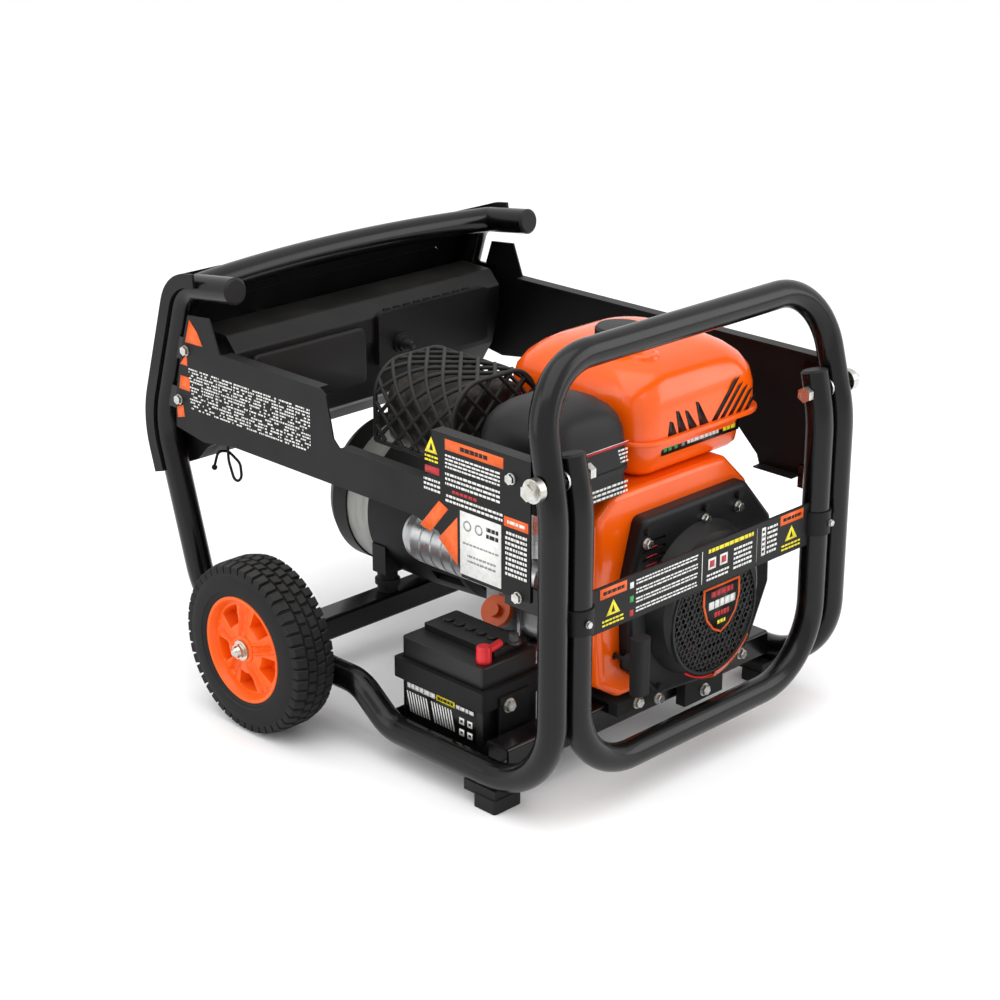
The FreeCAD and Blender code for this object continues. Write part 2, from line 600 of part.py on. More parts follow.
plugAt = V(crankX, 141, crankZ) + outDir * 190 + sideDir * 20
plugBoot = fuse([Part.makeCylinder(9, 28.7, plugAt, V(0, 1, 0)),
                 Part.makeCylinder(6.5, 30, plugAt + V(0, 9, 0), V(0, 0, -1))])
save("spark_plug_cap", plugBoot)

# orange fan shroud: deep cover around the flywheel, open behind the recoil cover
shroudOutline = [(-96, 62), (-104, 150), (-104, 262), (-78, 286), (112, 286), (154, 246), (158, 120),
                 (136, 52), (60, 34), (-62, 40)]
shroud = prismY(shroudOutline, 62, 138)
shroud = rounded(shroud, 14, alongAxis(1))
frontEdges = [e for e in shroud.Edges if abs(e.BoundBox.YMin - 62) < 0.01 and abs(e.BoundBox.YMax - 62) < 0.01]
shroud = shroud.makeFillet(9, frontEdges)
shroudInner = prismY([(x * 0.965 + 1.2, (z - 160) * 0.965 + 160) for x, z in shroudOutline], 66, 139)
shroud = shroud.cut(shroudInner).cut(rod(96, (crankX, 50, crankZ), (crankX, 70, crankZ)))
shroud = shroud.cut(rod(5, (-72, 40, 96), (-72, 90, 96)))
save("fan_shroud", max(shroud.Solids, key=lambda s: s.Volume))

# black recoil cover: faceted rim stepping forward to a round screened face
coverOutline = [(crankX - 96, crankZ + 118), (crankX + 80, crankZ + 118), (crankX + 128, crankZ + 64),
                (crankX + 130, crankZ - 20), (crankX + 96, crankZ - 90), (crankX + 30, crankZ - 112),
                (crankX - 60, crankZ - 104), (crankX - 112, crankZ - 60), (crankX - 118, crankZ + 40)]
coverRim = prismY(coverOutline, 44, 61.7)
coverRim = rounded(coverRim, 10, alongAxis(1))
rimFront = [e for e in coverRim.Edges if abs(e.BoundBox.YMin - 44) < 0.01 and abs(e.BoundBox.YMax - 44) < 0.01]
coverRim = coverRim.makeFillet(6, rimFront)
drum = revolvedY([(20, 0), (20, 74), (25, 82), (45, 92), (45, 0)], crankX, crankZ)
recoil = fuse([coverRim, drum])
recoil = recoil.cut(revolvedY([(24, 0), (24, 72), (28, 78), (63, 88), (63, 0)], crankX, crankZ))
recoil = recoil.cut(prismY([((x - crankX) * 0.95 + crankX, (z - crankZ) * 0.95 + crankZ)
                            for x, z in coverOutline], 50, 62))
# concentric slots of the air screen
for r in (30, 42, 54, 66):
    slot = ring(r + 2.6, r - 2.6, (crankX, 18, crankZ), (crankX, 26, crankZ))
    spokes = [box(-2.5, 2.5, 10, 30, 0, 100) for i in range(8)]
    for i, spoke in enumerate(spokes):
        spoke.rotate(V(0, 0, 0), V(0, 1, 0), 45 * i + 22.5)
        spoke.translate(V(crankX, 0, crankZ))
    recoil = recoil.cut(slot.cut(Part.makeCompound(spokes)))
for i in range(5):
    louvre = box(-50, -12, 40, 52, 226 - 10 * i, 229.5 - 10 * i)
    recoil = recoil.cut(louvre)
recoil = recoil.cut(rod(4, (-72, 40, 96), (-72, 80, 96)))
recoil = max(recoil.Solids, key=lambda s: s.Volume)
pawlPost = rod(9, (crankX, 23.5, crankZ), (crankX, 54, crankZ))
recoil = recoil.fuse(pawlPost)
for x, z in ((crankX + 6, crankZ + 106), (crankX + 64, crankZ + 106), (crankX - 92, crankZ + 104),
             (crankX + 80, crankZ - 84), (crankX - 66, crankZ - 92)):
    recoil = recoil.fuse(hexBolt((x, 43.9, z), (0, -1, 0), 5, 2, 8))
save("recoil_cover", recoil)

pulley = revolvedY([(38, 9.06), (38, 56), (40.5, 56), (42, 50), (48, 50), (49.5, 56), (52, 56), (52, 9.06)],
                   crankX, crankZ)
save("recoil_pulley", pulley)

gripX, gripZ = -72.0, 96.0
grip = rounded(box(gripX - 11, gripX + 11, 16, 34, gripZ - 34, gripZ + 34), 7, alongAxis(2))
grip = fuse([grip, rod(9, (gripX, 30, gripZ), (gripX, 43.6, gripZ)), rod(2.6, (gripX, 43, gripZ), (gripX, 134, gripZ))])
save("starter_grip", grip)

flywheel = revolvedY([(84, 18.0), (84, 60), (92, 80), (112, 80), (112, 70), (98, 66), (98, 18.0)], crankX, crankZ)
blades = []
for i in range(16):
    blade = box(-1.5, 1.5, 66, 92, 52, 84)
    blade.rotate(V(0, 0, 0), V(0, 1, 0), 22.5 * i)
    blade.translate(V(crankX, 0, crankZ))
    blades.append(blade)
flywheel = fuse([flywheel] + blades)
save("flywheel", flywheel)
web = [box(crankX - 22, crankX + 22, y, y + 16, crankZ - 50, crankZ + 22) for y in (188, 236)]
crankshaft = fuse([rod(18, (crankX, 70, crankZ), (crankX, 200, crankZ)),
                   rod(18, (crankX, 240, crankZ), (crankX, 345, crankZ)),
                   rod(17, (crankX, 190, crankZ - 32), (crankX, 250, crankZ - 32))] + web)
save("crankshaft", crankshaft)

# fuel tank: crowned upper shell, seam lip, tapered lower shell
tankTopZ = 421.0
tankWall = 3.5


def topEdges(shape, z):
    return [e for e in shape.Edges if abs(e.BoundBox.ZMin - z) < 0.01]


tankUpper = rounded(box(-42, 172, 58, 275, 333, tankTopZ), 34, alongAxis(2))
tankUpper = tankUpper.makeFillet(30, topEdges(tankUpper, tankTopZ))
tankLower = rounded(box(-32, 160, 68, 264, 287.5, 334), 28, alongAxis(2))
seam = rounded(box(-47, 177, 53, 280, 331, 336), 38, alongAxis(2))
neckX, neckY = 24.0, 150.0
tank = fuse([tankUpper, tankLower, seam, rod(24, (neckX, neckY, tankTopZ - 6), (neckX, neckY, tankTopZ + 6))])
tankInner = rounded(box(-38.5, 168.5, 61.5, 271.5, 334, tankTopZ - tankWall), 30, alongAxis(2))
tankInner = tankInner.makeFillet(26, topEdges(tankInner, tankTopZ - tankWall))
tankInner = fuse([tankInner, rounded(box(-28, 156, 72, 260, 291, 335), 24, alongAxis(2))])
tank = tank.cut(tankInner).cut(rod(19, (neckX, neckY, tankTopZ - 16), (neckX, neckY, tankTopZ + 14)))
# two pressed legs carry the tank on top of the crankcase
for y in (160, 236):
    tank = tank.fuse(box(4, 20, y, y + 22, 222.2, 288)).fuse(box(76, 92, y, y + 22, 222.2, 288))
save("fuel_tank", tank)

capZ = tankTopZ + 6.3
cap = revolvedZ([(0, capZ), (27, capZ), (28.5, capZ + 1.7), (28.5, capZ + 10), (26, capZ + 13), (0, capZ + 14)],
                neckX, neckY)
cap = cap.fuse(rod(18.4, (neckX, neckY, tankTopZ), (neckX, neckY, capZ + 1)))
for i in range(12):
    turn = i * math.pi / 6
    cap = cap.cut(Part.makeCylinder(2.2, 14, V(neckX + 30 * math.cos(turn), neckY + 30 * math.sin(turn), capZ + 1.7)))
save("fuel_cap", cap)

# air cleaner
filterX, filterY = -120.0, 115.0
filterTopZ = 398.0
nutZ = filterTopZ + 0.4
filterBase = rounded(box(-186, -56, 56, 168, 290, 316), 22, alongAxis(2))
filterBase = filterBase.cut(rounded(box(-182, -60, 60, 164, 294, 317), 18, alongAxis(2)))
snorkel = fuse([filterBase, rod(3, (filterX, filterY, 292), (filterX, filterY, nutZ + 5)),
                box(-74, -60, 74, 126, 286.2, 290.5)])
save("air_filter_base", snorkel)
filterCover = rounded(box(-190, -51, 52, 178, 317, filterTopZ), 30, alongAxis(2))
filterCover = filterCover.makeFillet(27, topEdges(filterCover, filterTopZ))
filterInner = rounded(box(-186.5, -54.5, 55.5, 174.5, 316, filterTopZ - 3.5), 26, alongAxis(2))
filterInner = filterInner.makeFillet(23, topEdges(filterInner, filterTopZ - 3.5))
nutHole = (filterX, filterY, filterTopZ - 20), (filterX, filterY, filterTopZ + 20)
filterCover = filterCover.cut(filterInner).cut(rod(3.3, *nutHole))
save("air_filter_cover", filterCover)
element = ring(48, 32, (filterX, filterY, 294.2), (filterX, filterY, filterTopZ - 16))
save("air_filter_element", element)
knob = revolvedZ([(3.06, nutZ), (13, nutZ), (13, nutZ + 3.6), (8, nutZ + 5.6), (8, nutZ + 8), (3.06, nutZ + 8)],
                 filterX, filterY)
wings = box(filterX - 18, filterX + 18, filterY - 2.5, filterY + 2.5, nutZ + 5.2, nutZ + 15.6)
wings = rounded(wings, 2, alongAxis(1))
wings = wings.cut(rod(3.06, *nutHole))
save("air_filter_nut", fuse([knob, wings]))

chokeY, chokeZ = 138.0, 262.0
carburettor = fuse([box(-150, -107, 116, 160, 246, 289.6), rod(19, (-128, 138, 214), (-128, 138, 248)),
                    box(-130, -97, 159, 169.8, 244, 272)])
carburettor = carburettor.cut(rod(12, (-128, 138, 262), (-128, 138, 300)))
carburettor = carburettor.cut(rod(3.06, (-152, chokeY, chokeZ), (-136, chokeY, chokeZ)))
save("carburettor", carburettor)

# flat choke lever on a short spindle at the outer side of the carburettor
save("choke_lever", fuse([
    rod(3, (-153, chokeY, chokeZ), (-141, chokeY, chokeZ)),
    rounded(box(-154, -151, chokeY - 4, chokeY + 4, chokeZ - 4, chokeZ + 22), 1.4, alongAxis(0)),
    rounded(box(-166, -151, chokeY - 4, chokeY + 4, chokeZ + 14, chokeZ + 22), 2.5, alongAxis(0))]))

# muffler in its guard, above the alternator
mufflerY0, mufflerY1 = 212.0, 322.0
muffler = rounded(box(-176, -62, mufflerY0, mufflerY1, 300, 386), 30, alongAxis(1))
mufflerEnds = [e for e in muffler.Edges if e.BoundBox.YLength < 0.01]
muffler = muffler.makeFillet(8, mufflerEnds)
innerMuffler = rounded(box(-173, -65, mufflerY0 + 3, mufflerY1 - 3, 303, 383), 28, alongAxis(1))
muffler = muffler.cut(innerMuffler)
exhaust = [(-84, mufflerY0 + 2, 330), (-84, mufflerY0 - 20, 330), (-84, mufflerY0 - 20, 301)]
elbow = sweptRound(exhaust, [0, 17, 0], 11).cut(sweptRound(exhaust, [0, 17, 0], 9))
outlet = ring(13, 10, (-118, mufflerY1 - 8, 352), (-118, mufflerY1 + 9, 352))
muffler = fuse([muffler, outlet, elbow])
save("muffler", muffler)

guardY0, guardY1, guardTopZ = 200.0, 332.0, 404.0
guardOuter = rounded(box(-186, -54, guardY0, guardY1, 296, guardTopZ), 34, alongAxis(1))
guard = guardOuter.cut(rounded(box(-184, -56, guardY0 - 4, guardY1 + 4, 298, guardTopZ - 2), 32, alongAxis(1)))
windows = []
for i in range(5):
    y = guardY0 + 8 + 24 * i
    windows.append(box(-148, -92, y, y + 16, guardTopZ - 10, guardTopZ + 10))
    windows.append(box(-200, -180, y, y + 16, 330, 370))
    windows.append(box(-60, -40, y, y + 16, 330, 370))
guard = guard.cut(Part.makeCompound(windows)).cut(box(-200, -40, guardY0 - 10, guardY1 + 10, 290, 312))
for y in (guardY0 + 24, guardY0 + 98):
    guard = guard.fuse(box(-186, -176.2, y, y + 7, 343, 348))
    guard = guard.fuse(box(-61.8, -54, y, y + 7, 343, 348))
# bracket from the guard down to the top of the crankcase
guard = guard.fuse(fuse([box(-12, 10, 282, 296, 222.2, 225), box(-12, -9, 282, 296, 222.2, 318),
                         box(-62, -9, 282, 296, 315, 318)]))
save("muffler_guard", guard)

dipHead = fillerStart + fillerDir * 28.4
dip = fuse([Part.makeCylinder(19, 9, dipHead, fillerDir), Part.makeCylinder(8, 8, dipHead + fillerDir * 9, fillerDir),
            Part.makeCylinder(4, 20, dipHead - fillerDir * 20, fillerDir)])
save("dipstick", dip)

motorX, motorZ, motorEndY = -92.0, 168.0, 340.0
dome = [(motorEndY, 0), (motorEndY, 33), (motorEndY + 12, 31), (motorEndY + 22, 24), (motorEndY + 28, 12),
        (motorEndY + 29, 0)]
starter = fuse([rod(33, (motorX, 196, motorZ), (motorX, motorEndY, motorZ)), revolvedY(dome, motorX, motorZ),
                rod(20, (motorX, 150, motorZ), (motorX, 196, motorZ)),
                rod(15, (motorX, 205, motorZ - 50), (motorX, 275, motorZ - 50))])
starter = starter.cut(case).cut(cylinder)
for i in range(7):
    grooveY = 214 + 18 * i
    starter = starter.cut(ring(40, 31.6, (motorX, grooveY, motorZ), (motorX, grooveY + 3, motorZ)))
save("starter_motor", max(starter.Solids, key=lambda s: s.Volume))

# ---------------------------------------------------------------- alternator
housing = revolvedY([(330, 20), (330, 86), (345, 93), (430, alternatorR), (498.7, alternatorR), (498.7, 88),
                     (352, 82), (340, 40), (340, 20)], crankX, crankZ)
for i in range(10):
    slot = box(-9, 9, 352, 400, 80, 120)
    slot.rotate(V(0, 0, 0), V(0, 1, 0), 36 * i + 18)
    slot.translate(V(crankX, 0, crankZ))
    housing = housing.cut(slot)
mountY = 486.0
feet = []
for side in (-1, 1):
    x = crankX + side * 78
    feet.append(box(x - 14, x + 14, mountY - 12, mountY + 12, 62.2, 100).cut(
        rod(92, (crankX, 320, crankZ), (crankX, 520, crankZ))))
housing = fuse([housing] + feet)
save("alternator_housing", max(housing.Solids, key=lambda s: s.Volume))
stator = ring(95, 62, (crankX, 499, crankZ), (crankX, 541, crankZ))
save("alternator_stator", stator)
rear = revolvedY([(541.3, 62), (541.3, 97), (566, 97), (578, 90), (586, 76), (586, 17.06), (582, 17.06),
                  (582, 72), (574, 84), (562, 93), (545, 93), (545, 62)], crankX, crankZ)
for r in (34, 46, 58, 70):
    slot = ring(r + 2.5, r - 2.5, (crankX, 576, crankZ), (crankX, 590, crankZ))
    bars = []
    for i in range(6):
        bar = box(-4, 4, 560, 600, 0, 110)
        bar.rotate(V(0, 0, 0), V(0, 1, 0), 60 * i)
        bar.translate(V(crankX, 0, crankZ))
        bars.append(bar)
    rear = rear.cut(slot.cut(Part.makeCompound(bars)))
save("alternator_rear_cover", max(rear.Solids, key=lambda s: s.Volume))
rotor = fuse([rod(17, (crankX, 345.3, crankZ), (crankX, 584, crankZ)),
              rod(60, (crankX, 420, crankZ), (crankX, 532, crankZ)),
              ring(78, 40, (crankX, 372, crankZ), (crankX, 384, crankZ)).fuse(
                  ring(42, 15, (crankX, 374, crankZ), (crankX, 382, crankZ)))])
save("alternator_rotor", rotor)

# rubber mounts between engine, alternator and the cross beams
mounts = []
for x in (crankX - 78, crankX + 78):
    mounts.append(fuse([rod(13, (x, mountY, rearBeamZ[1] + 0.2), (x, mountY, 62.0)),
                        rod(16, (x, mountY, 46), (x, mountY, 52))]))
for x, lipZ in ((crankX - 78, 16), (crankX + 40, -12)):
    mounts.append(fuse([box(x - 34, x + 34, 64, 77.7, lipZ, 31), box(x - 34, x + 34, 64, 160, 28.2, 31.8)]))
save("engine_mounts", Part.makeCompound(mounts))

# ---------------------------------------------------------------- battery
case = rounded(box(-214, -128, 128, 258, -4, 66), 3, alongAxis(2))
lidTop = rounded(box(-214, -128, 128, 258, 66, 104), 4, alongAxis(2))
lidTop = lidTop.makeFillet(2, [e for e in lidTop.Edges if abs(e.BoundBox.ZMin - 104) < 0.01])
raised = rounded(box(-186, -134, 138, 252, 103, 112), 3, alongAxis(2))
batteryCase = fuse([case, lidTop, raised])
save("battery_case", batteryCase)
red = rounded(box(-208, -190, 132, 150, 104.3, 124), 4, alongAxis(2))
post = box(-160, -144, 134, 150, 112.3, 124)
lug = rounded(box(-189.7, -166, 136, 146, 113, 121), 3, alongAxis(0))
save("battery_terminals", Part.makeCompound([fuse([red, box(-191, -185, 136, 146, 113, 121), lug]), post]))
strapOut = rounded(box(-221, -121, 121, 265, 54, 78), 3, alongAxis(2))
strap = strapOut.cut(box(-214.3, -127.7, 127.7, 258.3, 50, 80))
plateFront = box(-196, -150, 118.2, 121.2, -4.1, 66)
save("battery_strap", fuse([strap, plateFront]))
tray = fuse([box(-228, -120, 112.1, 268, -8.5, -4.3), box(-228, -120, 265.3, 268, -8.5, 10)])
tray = tray.cut(fullRail).cut(sweptRound(hoopCorners, hoopRadii, tubeR))
save("battery_tray", max(tray.Solids, key=lambda s: s.Volume))
print("engine done")

whole = Part.makeCompound([s for n, s in written])
b = whole.BoundBox
print("nodes", len(written), "box", [round(v, 2) for v in (b.XMin, b.XMax, b.YMin, b.YMax, b.ZMin, b.ZMax)])
for name, shape in written:
    if not shape.isValid() or shape.Volume <= 0:
        print("check", name, shape.isValid(), shape.Volume)
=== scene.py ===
import math
import random

import bmesh
import bpy
from mathutils import Matrix, Vector


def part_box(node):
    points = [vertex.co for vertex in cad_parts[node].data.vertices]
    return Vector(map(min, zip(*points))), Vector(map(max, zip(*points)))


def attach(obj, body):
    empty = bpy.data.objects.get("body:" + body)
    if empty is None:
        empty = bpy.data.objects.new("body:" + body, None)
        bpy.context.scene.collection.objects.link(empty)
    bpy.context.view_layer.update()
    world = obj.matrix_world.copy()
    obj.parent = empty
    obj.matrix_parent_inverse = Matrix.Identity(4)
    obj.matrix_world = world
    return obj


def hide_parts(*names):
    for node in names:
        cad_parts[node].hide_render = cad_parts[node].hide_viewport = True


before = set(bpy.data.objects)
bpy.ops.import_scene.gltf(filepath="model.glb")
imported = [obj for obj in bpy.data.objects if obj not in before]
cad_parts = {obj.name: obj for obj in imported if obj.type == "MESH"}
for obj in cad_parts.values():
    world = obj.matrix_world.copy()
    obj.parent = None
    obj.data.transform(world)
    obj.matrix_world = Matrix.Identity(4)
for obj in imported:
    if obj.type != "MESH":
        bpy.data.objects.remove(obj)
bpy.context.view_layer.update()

mm = 0.001
random.seed(7)


# camera, light and floor
cameraLook = {
    "place": (-1.7489, -1.7607, 1.1728),   # metres, front left of the machine and above it
    "azimuth": -44.916,                     # degrees, 0 looks along +Y
    "elevation": 20.755,
    "focalLength": 79.8,                    # on a 36 mm sensor
}


def addCamera():
    data = bpy.data.cameras.new("viewCamera")
    data.lens = cameraLook["focalLength"]
    data.sensor_width = 36
    camera = bpy.data.objects.new("viewCamera", data)
    bpy.context.collection.objects.link(camera)
    camera.location = cameraLook["place"]
    tilt = math.radians(90 - cameraLook["elevation"])
    camera.rotation_euler = (tilt, 0, math.radians(cameraLook["azimuth"]))
    bpy.context.scene.camera = camera


studio = {
    "keyPower": 34, "fillPower": 16, "rimPower": 26, "worldStrength": 1.0,   # lamps in watts
    "floorSize": 60.0, "floorDrop": 0.0005,                                  # metres
}


def addLight(name, place, aim, width, height, power):
    data = bpy.data.lights.new(name, "AREA")
    data.shape = "RECTANGLE"
    data.size = width
    data.size_y = height
    data.energy = power
    lamp = bpy.data.objects.new(name, data)
    bpy.context.collection.objects.link(lamp)
    lamp.location = place
    lamp.rotation_euler = (Vector(aim) - Vector(place)).to_track_quat("-Z", "Y").to_euler()


# colours and nodes
def toLinear(hexColour):
    channels = []
    for i in (0, 2, 4):
        c = int(hexColour[i:i + 2], 16) / 255
        channels.append(c / 12.92 if c <= 0.04045 else ((c + 0.055) / 1.055) ** 2.4)
    return (*channels, 1.0)


def addNode(tree, kind, settings=None, values=None, links=None):
    node = tree.nodes.new("ShaderNode" + kind)
    for key, value in (settings or {}).items():
        setattr(node, key, value)
    for key, value in (values or {}).items():
        node.inputs[key].default_value = value
    for key, source in (links or {}).items():
        tree.links.new(source, node.inputs[key])
    return node


def newMaterial(name):
    material = bpy.data.materials.new(name)
    material.use_nodes = True
    tree = material.node_tree
    tree.nodes.clear()
    shader = addNode(tree, "BsdfPrincipled")
    addNode(tree, "OutputMaterial", links={"Surface": shader.outputs[0]})
    place = addNode(tree, "TexCoord").outputs["Object"]
    return material, tree, shader, place


dustColour = "a8a49c"


def finishOf(name, look):
    # A surface of two close shades, fine relief, uneven gloss and a little dust on what faces up.
    material, tree, shader, place = newMaterial(name)
    stretch = look.get("stretch", (1, 1, 1))     # below 1 draws the pattern out along that axis
    spread = addNode(tree, "Mapping", values={"Vector": (0, 0, 0), "Scale": stretch},
                     links={0: place}).outputs[0]
    patches = addNode(tree, "TexNoise", values={"Scale": 1 / (look.get("patchSize", 60) * mm), "Detail": 4.0},
                      links={"Vector": spread}).outputs["Fac"]
    grain = addNode(tree, "TexNoise", values={"Scale": 1 / (look.get("grainSize", 1.2) * mm), "Detail": 2.0},
                    links={"Vector": spread}).outputs["Fac"]
    sharper = addNode(tree, "MapRange", values={1: 0.35, 2: 0.65}, links={0: patches}).outputs[0]
    shade = addNode(tree, "Mix", {"data_type": "RGBA"},
                    {6: toLinear(look["colour"]), 7: toLinear(look["second"])}, {0: sharper}).outputs[2]
    normal = addNode(tree, "NewGeometry").outputs["Normal"]
    upward = addNode(tree, "SeparateXYZ", links={0: normal}).outputs["Z"]
    settled = addNode(tree, "MapRange", values={1: 0.3, 2: 1.0, 3: 0.0, 4: look.get("dust", 0.04)},
                      links={0: upward}).outputs[0]
    dusty = addNode(tree, "Math", {"operation": "MULTIPLY"}, links={0: settled, 1: patches}).outputs[0]
    colour = addNode(tree, "Mix", {"data_type": "RGBA"}, {7: toLinear(dustColour)},
                     {0: dusty, 6: shade}).outputs[2]
    low, high = look["roughness"]
    rough = addNode(tree, "MapRange", values={1: 0.3, 2: 0.7, 3: low, 4: high}, links={0: patches}).outputs[0]
    relief = addNode(tree, "Bump", values={"Strength": look.get("bump", 0.25),
                                           "Distance": look.get("depth", 0.1) * mm}, links={"Height": grain})
    tree.links.new(colour, shader.inputs["Base Color"])
    tree.links.new(rough, shader.inputs["Roughness"])
    tree.links.new(relief.outputs[0], shader.inputs["Normal"])
    shader.inputs["Metallic"].default_value = look.get("metallic", 0.0)
    shader.inputs["Specular IOR Level"].default_value = look.get("shine", 0.5)
    shader.inputs["Coat Weight"].default_value = look.get("coat", 0.0)
    shader.inputs["Coat Roughness"].default_value = look.get("coatRoughness", 0.08)
    return material


finishes = {
    # gloss powder coat baked on steel tube: deep black, faint orange peel of about 2 mm, soft long highlights
    "glossPowderCoat": {"colour": "040405", "second": "070708", "roughness": (0.2, 0.28),
                        "grainSize": 2.2, "shine": 0.24, "depth": 0.06, "coat": 0.12,
                        "coatRoughness": 0.1, "dust": 0.015},
    # satin powder coat on folded sheet: even dark grey-black with a fine sandy grain
    "satinPowderCoat": {"colour": "050506", "second": "080809", "roughness": (0.42, 0.55),
                        "grainSize": 0.9, "shine": 0.24, "depth": 0.05, "dust": 0.05},
    # wet orange enamel over primer: saturated, very smooth, clear reflections with slight orange peel
    "orangeEnamel": {"colour": "f25c02", "second": "ec5500", "roughness": (0.2, 0.28), "grainSize": 3.0,
                     "shine": 0.4, "depth": 0.05, "coat": 0.22, "coatRoughness": 0.06, "dust": 0.01,
                     "patchSize": 120},
    # moulded orange polypropylene: slightly softer gloss than enamel and a faint mould flow
    "mouldedOrange": {"colour": "f06004", "second": "e65802", "shine": 0.35, "roughness": (0.3, 0.42),
                      "grainSize": 1.6, "depth": 0.05, "dust": 0.03},
    # moulded black ABS with a spark-eroded grain: dull, fine pebble
    "grainedBlackAbs": {"colour": "08080a", "second": "0d0d0f", "roughness": (0.42, 0.55),
                        "grainSize": 0.8, "shine": 0.28, "depth": 0.12, "bump": 0.35, "dust": 0.06},
    # moulded glossy black polypropylene: battery case and boots
    "glossBlackPlastic": {"colour": "09090a", "second": "0e0e0f", "shine": 0.35, "roughness": (0.28, 0.4),
                          "grainSize": 1.2, "depth": 0.05, "dust": 0.06},
    # vulcanised tyre rubber: matt charcoal, chalky patches and pores
    "tyreRubber": {"colour": "121213", "second": "19191a", "shine": 0.35, "roughness": (0.78, 0.9),
                   "grainSize": 1.4, "depth": 0.2, "bump": 0.5, "dust": 0.12, "patchSize": 25},
    # moulded solid rubber for feet, mounts and boots: matt black
    "mouldedRubber": {"colour": "0b0b0c", "second": "101011", "shine": 0.35, "roughness": (0.66, 0.8),
                      "grainSize": 1.0, "depth": 0.12, "dust": 0.08},
    # bright zinc plate on bolts: cool silver with faint blue and straw clouds
    "zincPlate": {"colour": "c9ccd0", "second": "b9b5a6", "roughness": (0.22, 0.4), "grainSize": 0.7,
                  "depth": 0.03, "metallic": 1.0, "patchSize": 6, "dust": 0.02},
    # nickel plate, polished before plating: near mirror with hairline haze
    "nickelPlate": {"colour": "cfcbc2", "second": "bdb9b0", "roughness": (0.12, 0.22), "grainSize": 0.8,
                    "depth": 0.02, "metallic": 1.0, "patchSize": 8, "dust": 0.02},
    # die-cast aluminium, shot blasted: pale, slightly sparkling with a sandy relief
    "castAluminium": {"colour": "d6d7d9", "second": "bcbdbf", "roughness": (0.26, 0.42), "grainSize": 1.1,
                      "depth": 0.18, "bump": 0.4, "metallic": 1.0, "patchSize": 18, "dust": 0.06},
    # turned and ground steel: fine rings show as drawn-out streaks
    "turnedSteel": {"colour": "b4b5b7", "second": "98999b", "roughness": (0.25, 0.4), "grainSize": 0.8,
                    "stretch": (1, 0.1, 1), "depth": 0.04, "metallic": 1.0, "patchSize": 10},
    # grey cast iron with machined faces: darker, open grain
    "castIron": {"colour": "5f6062", "second": "4a4b4d", "roughness": (0.5, 0.65), "grainSize": 1.5,
                 "depth": 0.25, "bump": 0.5, "metallic": 0.9, "patchSize": 14},
    # sheet steel blued by exhaust heat: brown-grey clouds under the guard
    "heatedSteel": {"colour": "4c4742", "second": "2f2c2a", "roughness": (0.45, 0.62), "grainSize": 1.4,
                    "depth": 0.12, "metallic": 0.8, "patchSize": 22, "dust": 0.05},
    # silicone heat-proof black on welded wire: flat and a little grey
    "stoveBlack": {"colour": "0b0b0b", "second": "121211", "shine": 0.35, "roughness": (0.6, 0.75),
                   "grainSize": 1.0, "depth": 0.1, "dust": 0.08},
    # pressed laminations dipped in clear varnish: pale grey band
    "varnishedLaminations": {"colour": "a2a29f", "second": "8c8c88", "roughness": (0.35, 0.5),
                             "grainSize": 1.6, "stretch": (0.2, 1, 0.2), "depth": 0.12, "bump": 0.6,
                             "metallic": 0.55, "patchSize": 12},
    # pleated filter paper: buff felt with fibres
    "filterPaper": {"colour": "c9b68c", "second": "b7a276", "roughness": (0.85, 0.95), "grainSize": 1.5,
                    "depth": 0.3, "bump": 0.6},
    # moulded red PVC boot: soft shine
    "redPvc": {"colour": "d41420", "second": "bf0f1a", "roughness": (0.3, 0.45), "grainSize": 1.4,
               "depth": 0.06},
    # printed vinyl inks on the labels: flat colour with a slight mottle from the screen
    "whiteInk": {"colour": "e9e9e6", "second": "d9d9d6", "roughness": (0.35, 0.5), "patchSize": 4,
                 "dust": 0.0},
    "orangeInk": {"colour": "ee6212", "second": "e4590e", "roughness": (0.35, 0.5), "patchSize": 4,
                  "dust": 0.0},
    "yellowInk": {"colour": "efe01c", "second": "dccc18", "roughness": (0.35, 0.5), "patchSize": 4,
                  "dust": 0.0},
    "redInk": {"colour": "b81c22", "second": "a3161c", "roughness": (0.35, 0.5), "patchSize": 4,
               "dust": 0.0},
    "greenInk": {"colour": "2f9e4f", "second": "278a44", "roughness": (0.35, 0.5), "patchSize": 4,
                 "dust": 0.0},
    "greyInk": {"colour": "8d8d8c", "second": "7b7b7a", "roughness": (0.4, 0.55), "patchSize": 4,
                "dust": 0.0},
    "blackVinyl": {"colour": "070708", "second": "0c0c0d", "shine": 0.3, "roughness": (0.3, 0.42),
                   "patchSize": 9, "dust": 0.01},
    # smoked acrylic window: dark and glassy
    "smokedAcrylic": {"colour": "0a0c0d", "second": "101214", "roughness": (0.08, 0.14), "grainSize": 4,
                      "depth": 0.01, "coat": 0.8, "coatRoughness": 0.03, "dust": 0.01},
}
surface = {name: finishOf(name, look) for name, look in finishes.items()}
print("finishes made:", len(surface))


def boxOf(node):
    low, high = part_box(node)
    return Vector(low), Vector(high)


def paint(node, finish):
    # Gives a CAD node its finish.
    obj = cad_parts[node]
    if not obj.data.materials:
        obj.data.materials.append(surface[finish])
    for s in obj.material_slots:
        s.material = surface[finish]


